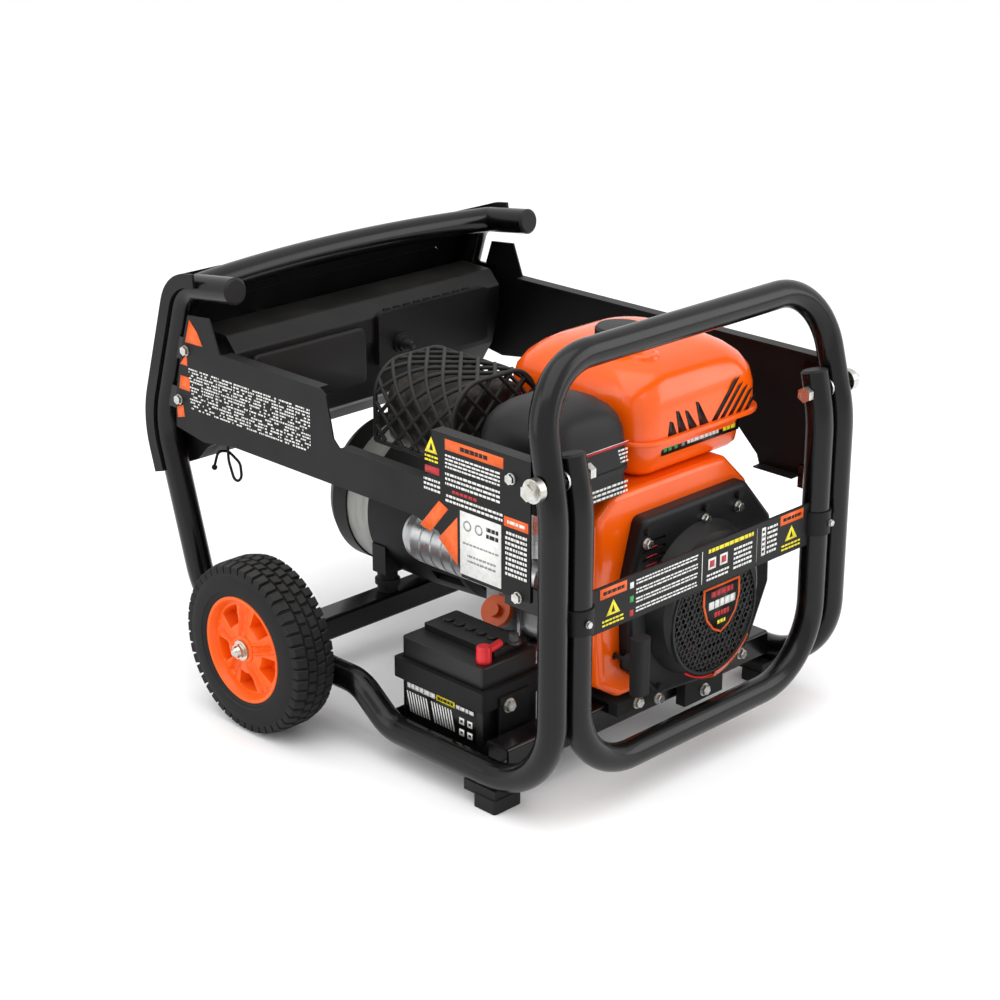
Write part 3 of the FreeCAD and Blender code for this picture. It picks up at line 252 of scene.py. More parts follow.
cadFinishes = {
    "glossPowderCoat": ["front_hoop", "front_u_tube", "side_rail_left", "side_rail_right", "handle_bar",
                        "front_cross_beam", "rear_cross_beam"],
    "satinPowderCoat": ["side_plate_left", "side_plate_right", "label_bar", "rear_fascia", "control_box",
                        "control_panel", "battery_tray", "battery_strap", "wire_hook", "alternator_housing",
                        "alternator_rear_cover"],
    "grainedBlackAbs": ["tube_caps", "sockets", "socket_lid_left", "socket_lid_right", "key_switch",
                        "fuel_cap", "air_filter_base", "air_filter_cover", "air_filter_nut", "choke_lever",
                        "recoil_cover", "recoil_pulley"],
    "zincPlate": ["frame_fasteners", "stub_axles"],
    "nickelPlate": ["hub_nuts", "panel_bezels"],
    "mouldedRubber": ["front_feet", "spark_plug_cap", "starter_grip", "engine_mounts"],
    "mouldedOrange": ["wheel_rim_left", "wheel_rim_right", "dipstick"],
    "tyreRubber": ["tyre_left", "tyre_right"],
    "orangeEnamel": ["fan_shroud", "fuel_tank"],
    "castAluminium": ["crankcase", "cylinder_block", "carburettor", "starter_motor"],
    "castIron": ["flywheel"],
    "turnedSteel": ["crankshaft", "alternator_rotor"],
    "heatedSteel": ["muffler"],
    "stoveBlack": ["muffler_guard"],
    "varnishedLaminations": ["alternator_stator"],
    "filterPaper": ["air_filter_element"],
    "glossBlackPlastic": ["battery_case"],
    "redPvc": ["battery_terminals"],
    "whiteInk": ["breaker_button"],
    "smokedAcrylic": ["voltmeter"],
}
for finish, nodes in cadFinishes.items():
    for node in nodes:
        paint(node, finish)
print("CAD nodes painted")


# mesh tools
def place(name, mesh, body, slot, inks, replaced=(), smooth=40):
    # Makes the object, gives it its finishes and puts it on its body.
    obj = bpy.data.objects.new(name, mesh)
    bpy.context.collection.objects.link(obj)
    for ink in inks:
        mesh.materials.append(surface[ink])
    mesh.polygons.foreach_set("use_smooth", [True] * len(mesh.polygons))
    if smooth:
        mesh.set_sharp_from_angle(angle=math.radians(smooth))
    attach(obj, body)
    if replaced:
        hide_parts(*replaced)
    return obj


def toMesh(name, work):
    bmesh.ops.remove_doubles(work, verts=work.verts, dist=1e-6)
    bmesh.ops.recalc_face_normals(work, faces=work.faces)
    mesh = bpy.data.meshes.new(name)
    work.to_mesh(mesh)
    work.free()
    return mesh


def loft(work, rings, material=0, capStart=True, capEnd=True, closed=False):
    # Skin over rings of the same number of points.
    rows = [[work.verts.new(p) for p in ring] for ring in rings]
    pairs = list(zip(rows[:-1], rows[1:]))
    if closed:
        pairs.append((rows[-1], rows[0]))
    for a, b in pairs:
        for i in range(len(a)):
            j = (i + 1) % len(a)
            work.faces.new((a[i], a[j], b[j], b[i])).material_index = material
    if capStart and not closed:
        work.faces.new(list(reversed(rows[0]))).material_index = material
    if capEnd and not closed:
        work.faces.new(rows[-1]).material_index = material


def roundedRing(centre, halfA, halfB, radius, axisA, axisB, steps=5):
    # Points round a rectangle with rounded corners, in the plane of axisA and axisB.
    points = []
    for sa, sb, start in ((1, 1, 0), (-1, 1, 90), (-1, -1, 180), (1, -1, 270)):
        for i in range(steps + 1):
            turn = math.radians(start + 90 * i / steps)
            a = sa * (halfA - radius) + radius * math.cos(turn)
            b = sb * (halfB - radius) + radius * math.sin(turn)
            points.append(centre + axisA * a + axisB * b)
    return points


def circleRing(centre, radius, axisA, axisB, steps=32):
    turns = [2 * math.pi * i / steps for i in range(steps)]
    return [centre + axisA * (radius * math.cos(t)) + axisB * (radius * math.sin(t)) for t in turns]


def block(work, low, high, material=0):
    # Box between two corners.
    lo, hi = Vector(low), Vector(high)
    corners = []
    for x in (0, 1):
        for y in (0, 1):
            for z in (0, 1):
                corner = (hi.x if x else lo.x, hi.y if y else lo.y, hi.z if z else lo.z)
                corners.append(work.verts.new(corner))
    for quad in ((0, 1, 3, 2), (4, 6, 7, 5), (0, 4, 5, 1), (2, 3, 7, 6), (0, 2, 6, 4), (1, 5, 7, 3)):
        work.faces.new([corners[i] for i in quad]).material_index = material
    return corners


axisX, axisY, axisZ = Vector((1, 0, 0)), Vector((0, 1, 0)), Vector((0, 0, 1))


# view and studio
addCamera()
floorMesh = bpy.data.meshes.new("studioFloor")
half = studio["floorSize"] / 2
floorCorners = [(-half, -half, 0), (half, -half, 0), (half, half, 0), (-half, half, 0)]
floorMesh.from_pydata(floorCorners, [], [(0, 1, 2, 3)])
floor = bpy.data.objects.new("studioFloor", floorMesh)
bpy.context.collection.objects.link(floor)
floor.location.z = -studio["floorDrop"]
# white seamless paper: almost no texture, a faint fibre mottle
floorMesh.materials.append(finishOf("seamlessPaper", {
    "colour": "fefefe", "second": "fcfcfc", "roughness": (0.85, 0.95), "patchSize": 90, "grainSize": 2,
    "dust": 0.0}))
addLight("softTop", (-0.6, -0.4, 2.6), (0, 0, 0.3), 2.6, 2.6, studio["keyPower"])
addLight("softLeft", (-2.6, 0.9, 1.5), (0, 0, 0.3), 1.6, 2.2, studio["fillPower"])
addLight("softRight", (1.9, -2.2, 1.6), (0, 0, 0.25), 1.6, 2.2, studio["rimPower"])
world = bpy.data.worlds.new("studioWorld")
bpy.context.scene.world = world
world.use_nodes = True
world.node_tree.nodes["Background"].inputs["Color"].default_value = (1, 1, 1, 1)
world.node_tree.nodes["Background"].inputs["Strength"].default_value = studio["worldStrength"]
bpy.context.scene.view_settings.view_transform = "Standard"
print("camera and studio set")


# printed labels
printLook = {"gap": 0.05, "film": 0.1, "layer": 0.12}   # under the film, its thickness, and each layer on top


def rect(ink, left, bottom, right, top, layer=1):
    return ink, layer, [(left, bottom), (right, bottom), (right, top), (left, top)]


def shape(ink, points, layer=1):
    return ink, layer, points


def dashRows(ink, left, bottom, right, top, rows, dash=(2.0, 6.0), fill=0.5, layer=1, gaps=0.0):
    # Rows of short bars of uneven length, which stand for small print and say nothing.
    made = []
    pitch = (top - bottom) / rows
    for r in range(rows):
        y = bottom + pitch * (r + 0.5 - fill / 2)
        x = left
        while x < right - 0.8:
            length = min(random.uniform(*dash), right - x)
            if random.random() >= gaps:
                made.append(rect(ink, x, y, x + length, y + pitch * fill, layer))
            x += length + random.uniform(0.7, 1.3)
    return made


def printed(name, origin, across, up, out, patches, slot, body="frame"):
    # Thin closed plates on a plane; sizes in millimetres from origin, one ink each.
    inks = sorted({p[0] for p in patches})
    work = bmesh.new()
    for ink, layer, points in patches:
        low = out * (printLook["gap"] * mm)
        high = out * ((printLook["film"] + printLook["layer"] * layer) * mm)
        bases = [origin + across * (a * mm) + up * (b * mm) for a, b in points]
        loft(work, [[p + low for p in bases], [p + high for p in bases]], inks.index(ink))
    bmesh.ops.recalc_face_normals(work, faces=work.faces)
    mesh = bpy.data.meshes.new(name)
    work.to_mesh(mesh)
    work.free()
    return place(name, mesh, body, slot, inks, smooth=0)


def plateGraphics():
    low = boxOf("side_plate_left")[0]
    front = []
    front.append(rect("orangeInk", 39, 137, 125, 149))
    front += dashRows("blackVinyl", 62, 140, 104, 146, 1, (5, 9), 0.8, layer=2)
    front.append(shape("yellowInk", [(137, 128), (156, 128), (146, 146)]))
    front.append(shape("blackVinyl", [(143, 131), (149, 131), (146, 140)], 2))
    front += dashRows("yellowInk", 136, 117, 156, 126, 2, (3, 7))
    front.append(rect("redInk", 134, 105, 156, 113))
    front += dashRows("whiteInk", 133, 84, 158, 100, 3, (2, 5))
    front += dashRows("whiteInk", 44, 116, 125, 133, 4, (2, 7))
    front += dashRows("whiteInk", 44, 97, 125, 113, 3, (2, 7))
    front += dashRows("redInk", 78, 90, 116, 95, 1, (4, 8), 0.7)
    front += dashRows("whiteInk", 40, 78, 125, 89, 2, (2, 6))
    front.append(shape("orangeInk", [(135, 77), (121, 71), (148, 39), (165, 42)]))
    front.append(shape("orangeInk", [(107, 66), (107, 11), (136, 35)]))
    front.append(rect("whiteInk", 42, 4, 103, 75))
    for a, b, r in ((92, 60, 6), (75, 60, 6)):
        ring = [(a + r * math.cos(t * math.pi / 8), b + r * math.sin(t * math.pi / 8)) for t in range(16)]
        inner = [(a + (x - a) * 0.7, b + (y - b) * 0.7) for x, y in ring]
        front.append(shape("greyInk", ring, 2))
        front.append(shape("whiteInk", inner, 3))
    front += dashRows("blackVinyl", 46, 53, 64, 68, 2, (4, 8), 0.6, layer=2)
    front += dashRows("greyInk", 46, 38, 99, 42, 1, (2, 5), 0.5, layer=2)
    front += dashRows("greyInk", 50, 18, 92, 30, 2, (3, 6), 0.4, layer=2)
    front.append(rect("orangeInk", 3, 76, 38, 87))
    front += dashRows("whiteInk", 8, 79, 33, 84, 1, (4, 8), 0.7, layer=2)
    front += dashRows("whiteInk", 5, 21, 36, 72, 9, (1.5, 5), 0.55)
    printed("frontPlatePrint", Vector((low.x, low.y, low.z)), axisY, axisZ, -axisX, front, "side_plate")
    rear = [shape("orangeInk", [(566, 160), (556, 189), (542, 176), (533, 161)]),
            shape("orangeInk", [(578, 131), (564, 131), (564, 146)]),
            shape("orangeInk", [(582, 100), (561, 100), (561, 117), (578, 117)]),
            shape("orangeInk", [(588, 62), (574, 66), (576, 80), (588, 76)])]
    for column in range(8):
        start = 343 + 27.6 * column
        rear += dashRows("whiteInk", start, 78, start + 25.6, 130, 14, (1.2, 5), 0.52, gaps=0.26)
    printed("rearPlatePrint", Vector((low.x, low.y, low.z)), axisY, axisZ, -axisX, rear, "side_plate")


def warningBlock(a, width):
    # Orange header, triangle and small rows, as on both ends of the label bar.
    mid = a + width / 2
    made = [rect("orangeInk", a, 37, a + width, 49)]
    made += dashRows("blackVinyl", a + 5, 40.5, a + width - 4, 45.5, 1, (4, 7), 0.8, layer=2)
    made.append(shape("yellowInk", [(mid - 11, 16), (mid + 11, 16), (mid, 33)]))
    made.append(shape("blackVinyl", [(mid - 3, 18.5), (mid + 3, 18.5), (mid, 27)], 2))
    made += dashRows("yellowInk", a + 4, 4, a + width - 4, 13, 2, (3, 7))
    return made


def labelBarGraphics():
    low, high = boxOf("label_bar")
    face = high.y - 6 * mm
    patches = warningBlock(-170, 42) + warningBlock(132, 42)
    for b, ink in ((40, "whiteInk"), (24, "greenInk"), (8, "redInk")):
        patches.append(rect(ink, -123, b - 3.5, -117, b + 3.5))
    for row in range(4):
        patches += dashRows("whiteInk", -113, 6 + 10.6 * row, -12, 13.4 + 10.6 * row, 2, (2, 8), 0.5)
    patches.append(rect("whiteInk", -5, 6, -4, 45))
    patches += dashRows("yellowInk", 6, 39, 84, 45, 1, (4, 9), 0.75)
    for a in (6, 26):
        patches.append(rect("whiteInk", a, 20, a + 13, 33))
        patches.append(rect("redInk", a + 2.5, 22.5, a + 10.5, 30.5, 2))
    patches += dashRows("whiteInk", 4, 6, 42, 16, 2, (2, 6))
    patches += dashRows("whiteInk", 50, 7, 82, 35, 5, (2, 6))
    patches.append(rect("greyInk", 90, 5, 91, 46))
    patches.append(rect("whiteInk", 99, 10, 106, 44))
    patches += dashRows("blackVinyl", 100, 12, 105, 42, 5, (2, 4), 0.5, layer=2)
    patches += dashRows("whiteInk", 109, 9, 127, 44, 6, (2, 6))
    printed("labelBarPrint", Vector((0, face, low.z)), axisX, axisZ, -axisY, patches, "label_bar")


plateGraphics()
labelBarGraphics()
print("labels printed")


# fuel tank
# each row of the crown: share of its height, inset, corner radius
tankLook = {"topBelowNeck": 6, "lipOut": 5, "seamAboveLegs": 111.3, "lowerInset": 15,
            "crown": [(0.03, 0, 34), (0.36, 0.5, 35), (0.56, 3, 38), (0.72, 10, 42), (0.83, 20, 44),
                      (0.915, 33, 42), (0.965, 47, 36), (1, 60, 28)]}


def fuelTank():
    low, high = boxOf("fuel_tank")
    lip = tankLook["lipOut"]
    halfA = (high.x - low.x) / 2 - lip * mm
    halfB = (high.y - low.y) / 2 - lip * mm
    middle = (low + high) / 2
    seam = low.z + tankLook["seamAboveLegs"] * mm
    work = bmesh.new()

    def ringAt(rise, inset, radius, steps=8):
        return roundedRing(Vector((middle.x, middle.y, seam + rise * mm)), halfA - inset * mm,
                           halfB - inset * mm, radius * mm, axisX, axisY, steps)

    inset = tankLook["lowerInset"]
    lower = [ringAt(-46, inset + 14, 16), ringAt(-44, inset + 6, 22), ringAt(-38, inset, 28),
             ringAt(-16, inset - 3, 30), ringAt(-2.6, inset - 5, 32)]
    loft(work, lower)
    loft(work, [ringAt(-2.8, -3.5, 37), ringAt(-2.2, -4.6, 38), ringAt(0, -5, 38), ringAt(2.2, -4.6, 38),
                ringAt(2.8, -3.5, 37)])
    crownRise = (high.z - seam) / mm - tankLook["topBelowNeck"]
    loft(work, [ringAt(share * crownRise, inset, radius) for share, inset, radius in tankLook["crown"]])
    capLow, capHigh = boxOf("fuel_cap")
    neck = Vector(((capLow.x + capHigh.x) / 2, (capLow.y + capHigh.y) / 2, 0))
    loft(work, [circleRing(neck + axisZ * (high.z - drop * mm), r * mm, axisX, axisY)
                for drop, r in ((12, 31), (6.5, 30), (5, 26), (0.5, 24), (0.5, 19), (4, 19))])
    # pressed boss on the crown in front of the cap
    boss = Vector((middle.x - 44 * mm, low.y + 58 * mm, seam))
    loft(work, [circleRing(boss + axisZ * (rise * mm), r * mm, axisX, axisY)
                for rise, r in ((crownRise - 16, 19), (crownRise - 5, 18), (crownRise - 2.5, 15.5),
                                (crownRise - 2.5, 12), (crownRise - 5, 10.5), (crownRise - 14, 10))])
    for x in (4, 76):
        for y in (160, 236):
            start = Vector((low.x + (x + 47) * mm, low.y + (y - 53) * mm, low.z))
            block(work, start, start + Vector((16 * mm, 22 * mm, 68 * mm)))
    place("fuelTankShell", toMesh("fuelTankShell", work), "frame", "fuel_tank", ["orangeEnamel"],
          ["fuel_tank"], smooth=50)
    # black slashes leaning into a V, and the strip under the seam
    slashes = []
    foot = 3
    for a, wide, lean, rise in ((50, 15, 3, 17), (68, 14, -5, 27), (86, 14, -8, 24), (104, 15, -8, 30)):
        corners = [(a, foot), (a + wide, foot), (a + lean + 5, rise + 1), (a + lean, rise + 3)]
        slashes.append(shape("blackVinyl", corners))
    for a, wide, lean, rise in ((124, 10, 38, 43), (139, 8, 31, 35), (153, 8, 26, 30),
                                (167, 8, 21, 25), (181, 8, 12, 15)):
        corners = [(a, foot), (a + wide, foot), (a + lean + wide, rise + 3), (a + lean, rise)]
        slashes.append(shape("blackVinyl", corners))
    front = Vector((low.x, low.y + lip * mm, seam))
    printed("tankSlashes", front, axisX, axisZ, -axisY, slashes, "fuel_tank")
    strip = [rect("blackVinyl", 54, -24, 188, -11)]
    for a, ink in ((58, "greenInk"), (66, "greenInk"), (76, "greenInk"), (88, "greyInk")):
        strip.append(rect(ink, a, -20.5, a + 5, -14.5, 2))
    strip += dashRows("whiteInk", 98, -20.5, 152, -14.5, 1, (4, 9), 0.8, layer=2)
    strip += dashRows("yellowInk", 160, -20.5, 182, -14, 1, (5, 8), 0.9, layer=2)
    front = Vector((low.x, low.y + (lip + inset - 2.7) * mm, seam))
    printed("tankStrip", front, axisX, axisZ, -axisY, strip, "fuel_tank")


fuelTank()
print("fuel tank made")


# air filter cover
# each row: share of the height, inset, corner radius
filterLook = {"dome": [(0, 0, 30), (0.07, 0, 30), (0.08, 1.5, 30), (0.36, 2.2, 31), (0.56, 3.4, 32),
                       (0.73, 6.5, 35), (0.83, 11, 38), (0.91, 19, 38), (0.965, 29, 30), (0.995, 42, 20)]}


def airFilterCover():
    low, high = boxOf("air_filter_cover")
    middle = (low + high) / 2
    work = bmesh.new()
    tall = high.z - low.z
    halfA, halfB = (high.x - low.x) / 2, (high.y - low.y) / 2
    loft(work, [roundedRing(Vector((middle.x, middle.y, low.z + share * tall)), halfA - inset * mm,
                            halfB - inset * mm, radius * mm, axisX, axisY, 8)
                for share, inset, radius in filterLook["dome"]])
    # recessed seat for the wing nut
    nutLow, nutHigh = boxOf("air_filter_nut")
    seat = Vector(((nutLow.x + nutHigh.x) / 2, (nutLow.y + nutHigh.y) / 2, high.z))
    loft(work, [circleRing(seat + axisZ * (drop * mm), r * mm, axisX, axisY, 28)
                for drop, r in ((-14, 24), (-3, 22), (-0.4, 19), (-0.4, 15), (-2, 14))])
    place("airFilterDome", toMesh("airFilterDome", work), "frame", "air_filter_cover", ["grainedBlackAbs"],
          ["air_filter_cover"], smooth=50)
    label = [rect("redInk", 52, 30, 124, 33), rect("whiteInk", 52, 33, 124, 33.6)]
    label += dashRows("whiteInk", 58, 9, 124, 27, 4, (2, 7), 0.5)
    front = Vector((low.x, low.y + 2.4 * mm, low.z))
    printed("filterPrint", front, axisX, axisZ, -axisY, label, "air_filter_cover")
    base = boxOf("air_filter_base")[0]
    lower = dashRows("whiteInk", 62, 50, 126, 66, 3, (3, 8), 0.5)
    front = Vector((low.x, base.y, low.z - 77 * mm))
    printed("filterBasePrint", front, axisX, axisZ, -axisY, lower, "air_filter_base")


airFilterCover()
print("air filter made")


# wheels
wheelLook = {"spokes": 5, "hub": 17, "bore": 8, "faceInner": 14, "faceOuter": 56, "faceSteps": 160,
             "tread": 46, "treadLean": 0.12}


def spun(work, centre, side, profile, steps=64, material=0, closed=True):
    # Turns (distance along the axle, radius) points about the axle through centre.
    rings = [circleRing(centre + axisX * (side * a * mm), r * mm, axisY, axisZ, steps) for a, r in profile]
    loft(work, rings, material, closed=closed)


def wheelRim(side, node, body):
    # Moulded five-spoke face with pockets, a rolled lip and a hollow barrel.
    low, high = boxOf(node)
    centre = (low + high) / 2
    centre.x = 0
    outer = abs(high.x if side > 0 else low.x) / mm
    rim = (high.z - low.z) / 2 / mm
    work = bmesh.new()
    spun(work, centre, side, [(outer - 52, 54), (outer - 52, 64), (outer - 49, 60), (outer - 9, 59.7),
                              (outer - 3, rim - 0.6), (outer - 0.6, rim - 1.2), (outer, rim - 3),
                              (outer - 0.8, rim - 5), (outer - 8, 56.5), (outer - 14, 54)])
    steps = wheelLook["faceSteps"]
    faceInner = wheelLook["faceInner"]
    faceSpan = wheelLook["faceOuter"] - faceInner
    radii = [faceInner + faceSpan * i / 40 for i in range(41)]
    rings = []
    for r in radii:
        ring = []
        for i in range(steps):
            turn = 2 * math.pi * i / steps
            phase = ((turn - math.radians(90)) * wheelLook["spokes"] / (2 * math.pi)) % 1.0
            off = abs(phase - 0.5) * 2                       # 0 on the pocket line, 1 on the spoke line
            arc = (1 - off) * math.pi / wheelLook["spokes"] * r   # distance from the spoke's middle
            depth = 9 - 5.5 * (1 - (r - faceInner) / faceSpan)    # the dish is deeper at its edge
            pocket = smooth(0.68 - off * 1.35, 0.0, 0.1) * smooth(r, 30, 34) * (1 - smooth(r, 49.5, 52.5))
            rib = math.exp(-((arc - 5.5) / 1.9) ** 2) * smooth(r, 17, 21) * (1 - smooth(r, 50, 55))
            groove = math.exp(-(arc / 2.6) ** 2) * smooth(r, 19, 24) * (1 - smooth(r, 44, 50))
            depth += 16.5 * pocket - 4.0 * rib + 2.6 * groove
            ring.append(centre + axisX * (side * (outer - depth) * mm) + axisY * (r * mm * math.cos(turn))
                        + axisZ * (r * mm * math.sin(turn)))
        rings.append(ring)
    loft(work, rings, closed=False, capStart=False, capEnd=False)
    back = []
    for ring in (rings[-1], rings[0]):
        r = (ring[0] - centre - axisX * (ring[0] - centre).x).length
        back.append(circleRing(centre + axisX * (side * (outer - 27) * mm), r, axisY, axisZ, steps))
    loft(work, [rings[-1], back[0], back[1], rings[0]], capStart=False, capEnd=False)
    hub, bore = wheelLook["hub"], wheelLook["bore"]
    spun(work, centre, side, [(outer - 57, bore), (outer - 57, hub), (outer - 3, hub),
                              (outer - 1.4, hub - 1.6), (outer - 1.4, bore)])
    for i in range(wheelLook["spokes"]):
        turn = math.radians(90 + 360 * i / wheelLook["spokes"])
        web = Matrix.Translation(centre) @ Matrix.Rotation(turn, 4, "X")
        made = block(work, (side * (outer - 50) * mm, 15 * mm, -1.5 * mm),
                     (side * (outer - 26) * mm, 57 * mm, 1.5 * mm))
        for v in made:
            v.co = web @ v.co
    place(node.replace("wheel_rim", "spokedRim"), toMesh(node, work), body, "wheel_rim", ["mouldedOrange"],
          [node], smooth=35)


def smooth(value, start, end):
    t = max(0.0, min(1.0, (value - start) / (end - start)))
    return t * t * (3 - 2 * t)


def tyre(side, node, body):
    # Round carcass with raised sidewall rings and four staggered rows of rounded blocks.
    low, high = boxOf(node)
    centre = (low + high) / 2
    middle = abs(centre.x) / mm
    half = (high.x - low.x) / 2 / mm
    full = (high.z - low.z) / 2 / mm
    centre.x = 0
    work = bmesh.new()
    wall = [(0, full - 3.4), (16, full - 3.8), (23, full - 6.5), (27.5, full - 12), (half - 0.6, 84),
            (half, 76), (half - 0.3, 71.5), (half - 1.4, 70.6), (half - 1.4, 69), (half - 2.8, 66.6),
            (half - 5.8, 61.0)]
    profile = [(middle + a, r) for a, r in reversed(wall)] + [(middle - a, r) for a, r in wall[1:]]
    spun(work, centre, side, profile, 96)
    count = wheelLook["tread"]
    rows = [(-20.6, 7.0, 0.0, 0.76), (-6.6, 5.6, 0.5, 0.78), (6.6, 5.6, 0.0, 0.78), (20.6, 7.0, 0.5, 0.76)]
    for offset, halfWide, stagger, share in rows:
        shoulder = abs(offset) > 10
        for i in range(count):
            turn = 2 * math.pi * (i + stagger) / count
            lean = math.copysign(wheelLook["treadLean"], offset)
            halfLong = math.pi * full / count * share
            turned = Matrix.Translation(centre) @ Matrix.Rotation(turn, 4, "X")
            corners = []
            for rise, shrink in ((full - 9.5, 1.0), (full - 1.2, 0.95), (full - 0.1, 0.84)):
                ring = []
                for a, b in ((-1, -1), (1, -1), (1, 1), (-1, 1)):
                    x = offset + a * halfWide * shrink
                    drop = 0.0
                    if shoulder and a * offset > 0:
                        drop = 3.0                         # the outer edge falls away round the shoulder
                    y = b * halfLong * shrink + a * halfLong * lean
                    ring.append(turned @ Vector((side * (middle + x) * mm, y * mm, (rise - drop) * mm)))
                corners.append(ring)
            loft(work, corners)
    place(node.replace("tyre", "treadedTyre"), toMesh(node, work), body, "tyre", ["tyreRubber"], [node],
          smooth=32)


for side, end in ((-1, "left"), (1, "right")):
    wheelRim(side, "wheel_rim_" + end, "wheel_" + end)
    tyre(side, "tyre_" + end, "wheel_" + end)
print("wheels made")


# muffler guard
guardLook = {"width": 132, "length": 132, "height": 92, "corner": 40, "wire": 2.4, "pitch": 27,
             "hoop": 2.8, "pipeAcross": 99.2, "pipeUp": 18, "pipeRoom": 17}


def wire(work, points, radius, sides=8, material=0):
    # Round bar through the points, closed at both ends.
    rings = []
    for i, p in enumerate(points):
        ahead = (points[min(i + 1, len(points) - 1)] - points[max(i - 1, 0)]).normalized()
        if rings:
            across = (across - ahead * across.dot(ahead)).normalized()
        else:
            across = ahead.orthogonal().normalized()
        rings.append(circleRing(p, radius, across, ahead.cross(across), sides))
    loft(work, rings, material)


def mufflerGuard():
    # Arched cage of crossed bars, hooped at both ends, with its straps to muffler and crankcase.
    low, high = boxOf("muffler_guard")
    hoop, bar = guardLook["hoop"], guardLook["wire"]
    wide, long, corner = guardLook["width"] - 2 * hoop, guardLook["length"] - 2 * hoop, guardLook["corner"]
    height = guardLook["height"]
    tall = height - hoop
    origin = Vector((low.x + hoop * mm, low.y + hoop * mm, high.z - height * mm))
    wall, top, bend = tall - corner, wide - 2 * corner, corner * math.pi / 2
    girth = 2 * wall + 2 * bend + top

    def onArch(s, y):
        if s < wall:
            x, z = 0, s
        elif s < wall + bend:
            turn = (s - wall) / corner
            x, z = corner - corner * math.cos(turn), wall + corner * math.sin(turn)
        elif s < wall + bend + top:
            x, z = corner + s - wall - bend, tall
        elif s < wall + 2 * bend + top:
            turn = (s - wall - bend - top) / corner
            x, z = wide - corner + corner * math.sin(turn), wall + corner * math.cos(turn)
        else:
            x, z = wide, girth - s
        return origin + Vector((x, y, z)) * mm

    work = bmesh.new()
    for y in (0, long):
        wire(work, [onArch(girth * i / 60, y) for i in range(61)], hoop * mm)
    for s in (0, girth):
        wire(work, [onArch(s, 0), onArch(s, long / 2), onArch(s, long)], hoop * mm)
    pitch = guardLook["pitch"]
    for k in range(-7, 15):
        for way in (1, -1):
            run = []
            for i in range(41):
                y = long * i / 40
                s = pitch * k + (y if way > 0 else long - y)
                if 0 <= s <= girth:
                    run.append(onArch(s, y) + Vector((0, 0, 0.4 * way * mm)))
            if len(run) > 3:
                wire(work, run, bar * mm)
    # crossed bars over the end that faces the recoil starter, leaving room for the exhaust pipe
    pipe = Vector((origin.x + guardLook["pipeAcross"] * mm, 0, origin.z + guardLook["pipeUp"] * mm))
    for k in range(-6, 12):
        for way in (1, -1):
            run = []
            for i in range(61):
                x = wide * i / 60
                z = pitch * 1.15 * k + (x if way > 0 else wide - x)
                over = max(corner - x, x - wide + corner, 0)
                roof = wall + math.sqrt(max(corner ** 2 - over ** 2, 0))
                p = origin + Vector((x, 0.3 * way, z)) * mm
                away = (Vector((p.x, 0, p.z)) - pipe).length
                if 0 <= z <= roof and away > guardLook["pipeRoom"] * mm:
                    run.append(p)
                else:
                    if len(run) > 3:
                        wire(work, run, bar * mm)
                    run = []
            if len(run) > 3:
                wire(work, run, bar * mm)
    for y in (24, 98):
        for x0, x1 in ((0.5, 9.6), (124.4, 131.5)):
            start = Vector((low.x, low.y, high.z))
            block(work, start + Vector((x0, y, -61)) * mm, start + Vector((x1, y + 7, -56)) * mm)
    strap = Vector((high.x, high.y, low.z))
    for x0, x1, z0, z1 in ((-22, 0, 0, 2.8), (-22, -19, 0, 95.8), (-70, -19, 92.8, 95.8)):
        block(work, strap + Vector((x0, -50, z0)) * mm, strap + Vector((x1, -36, z1)) * mm)
    place("mufflerCage", toMesh("mufflerCage", work), "frame", "muffler_guard", ["stoveBlack"],
          ["muffler_guard"], smooth=50)


mufflerGuard()
print("muffler guard made")


# recoil starter
recoilLook = {"cell": 7.4, "bar": 1.0, "screenBack": -0.1, "screenFace": -1.1, "reach": 72, "rimStep": 24}


def hexHead(work, foot, out, acrossFlats, height, material=0):
    # Bolt head with a washer face and a chamfered top.
    side = out.orthogonal().normalized()
    up = out.cross(side)
    r = acrossFlats / math.sqrt(3) * mm
    washer = 1.1 * mm
    loft(work, [circleRing(foot + out * h, r * 1.25, side, up, 18) for h in (0, washer)], material)
    loft(work, [circleRing(foot + out * (h * mm), r * k, side, up, 6)
                for h, k in ((1.0, 1.0), (height - 0.8, 1.0), (height, 0.86))], material)


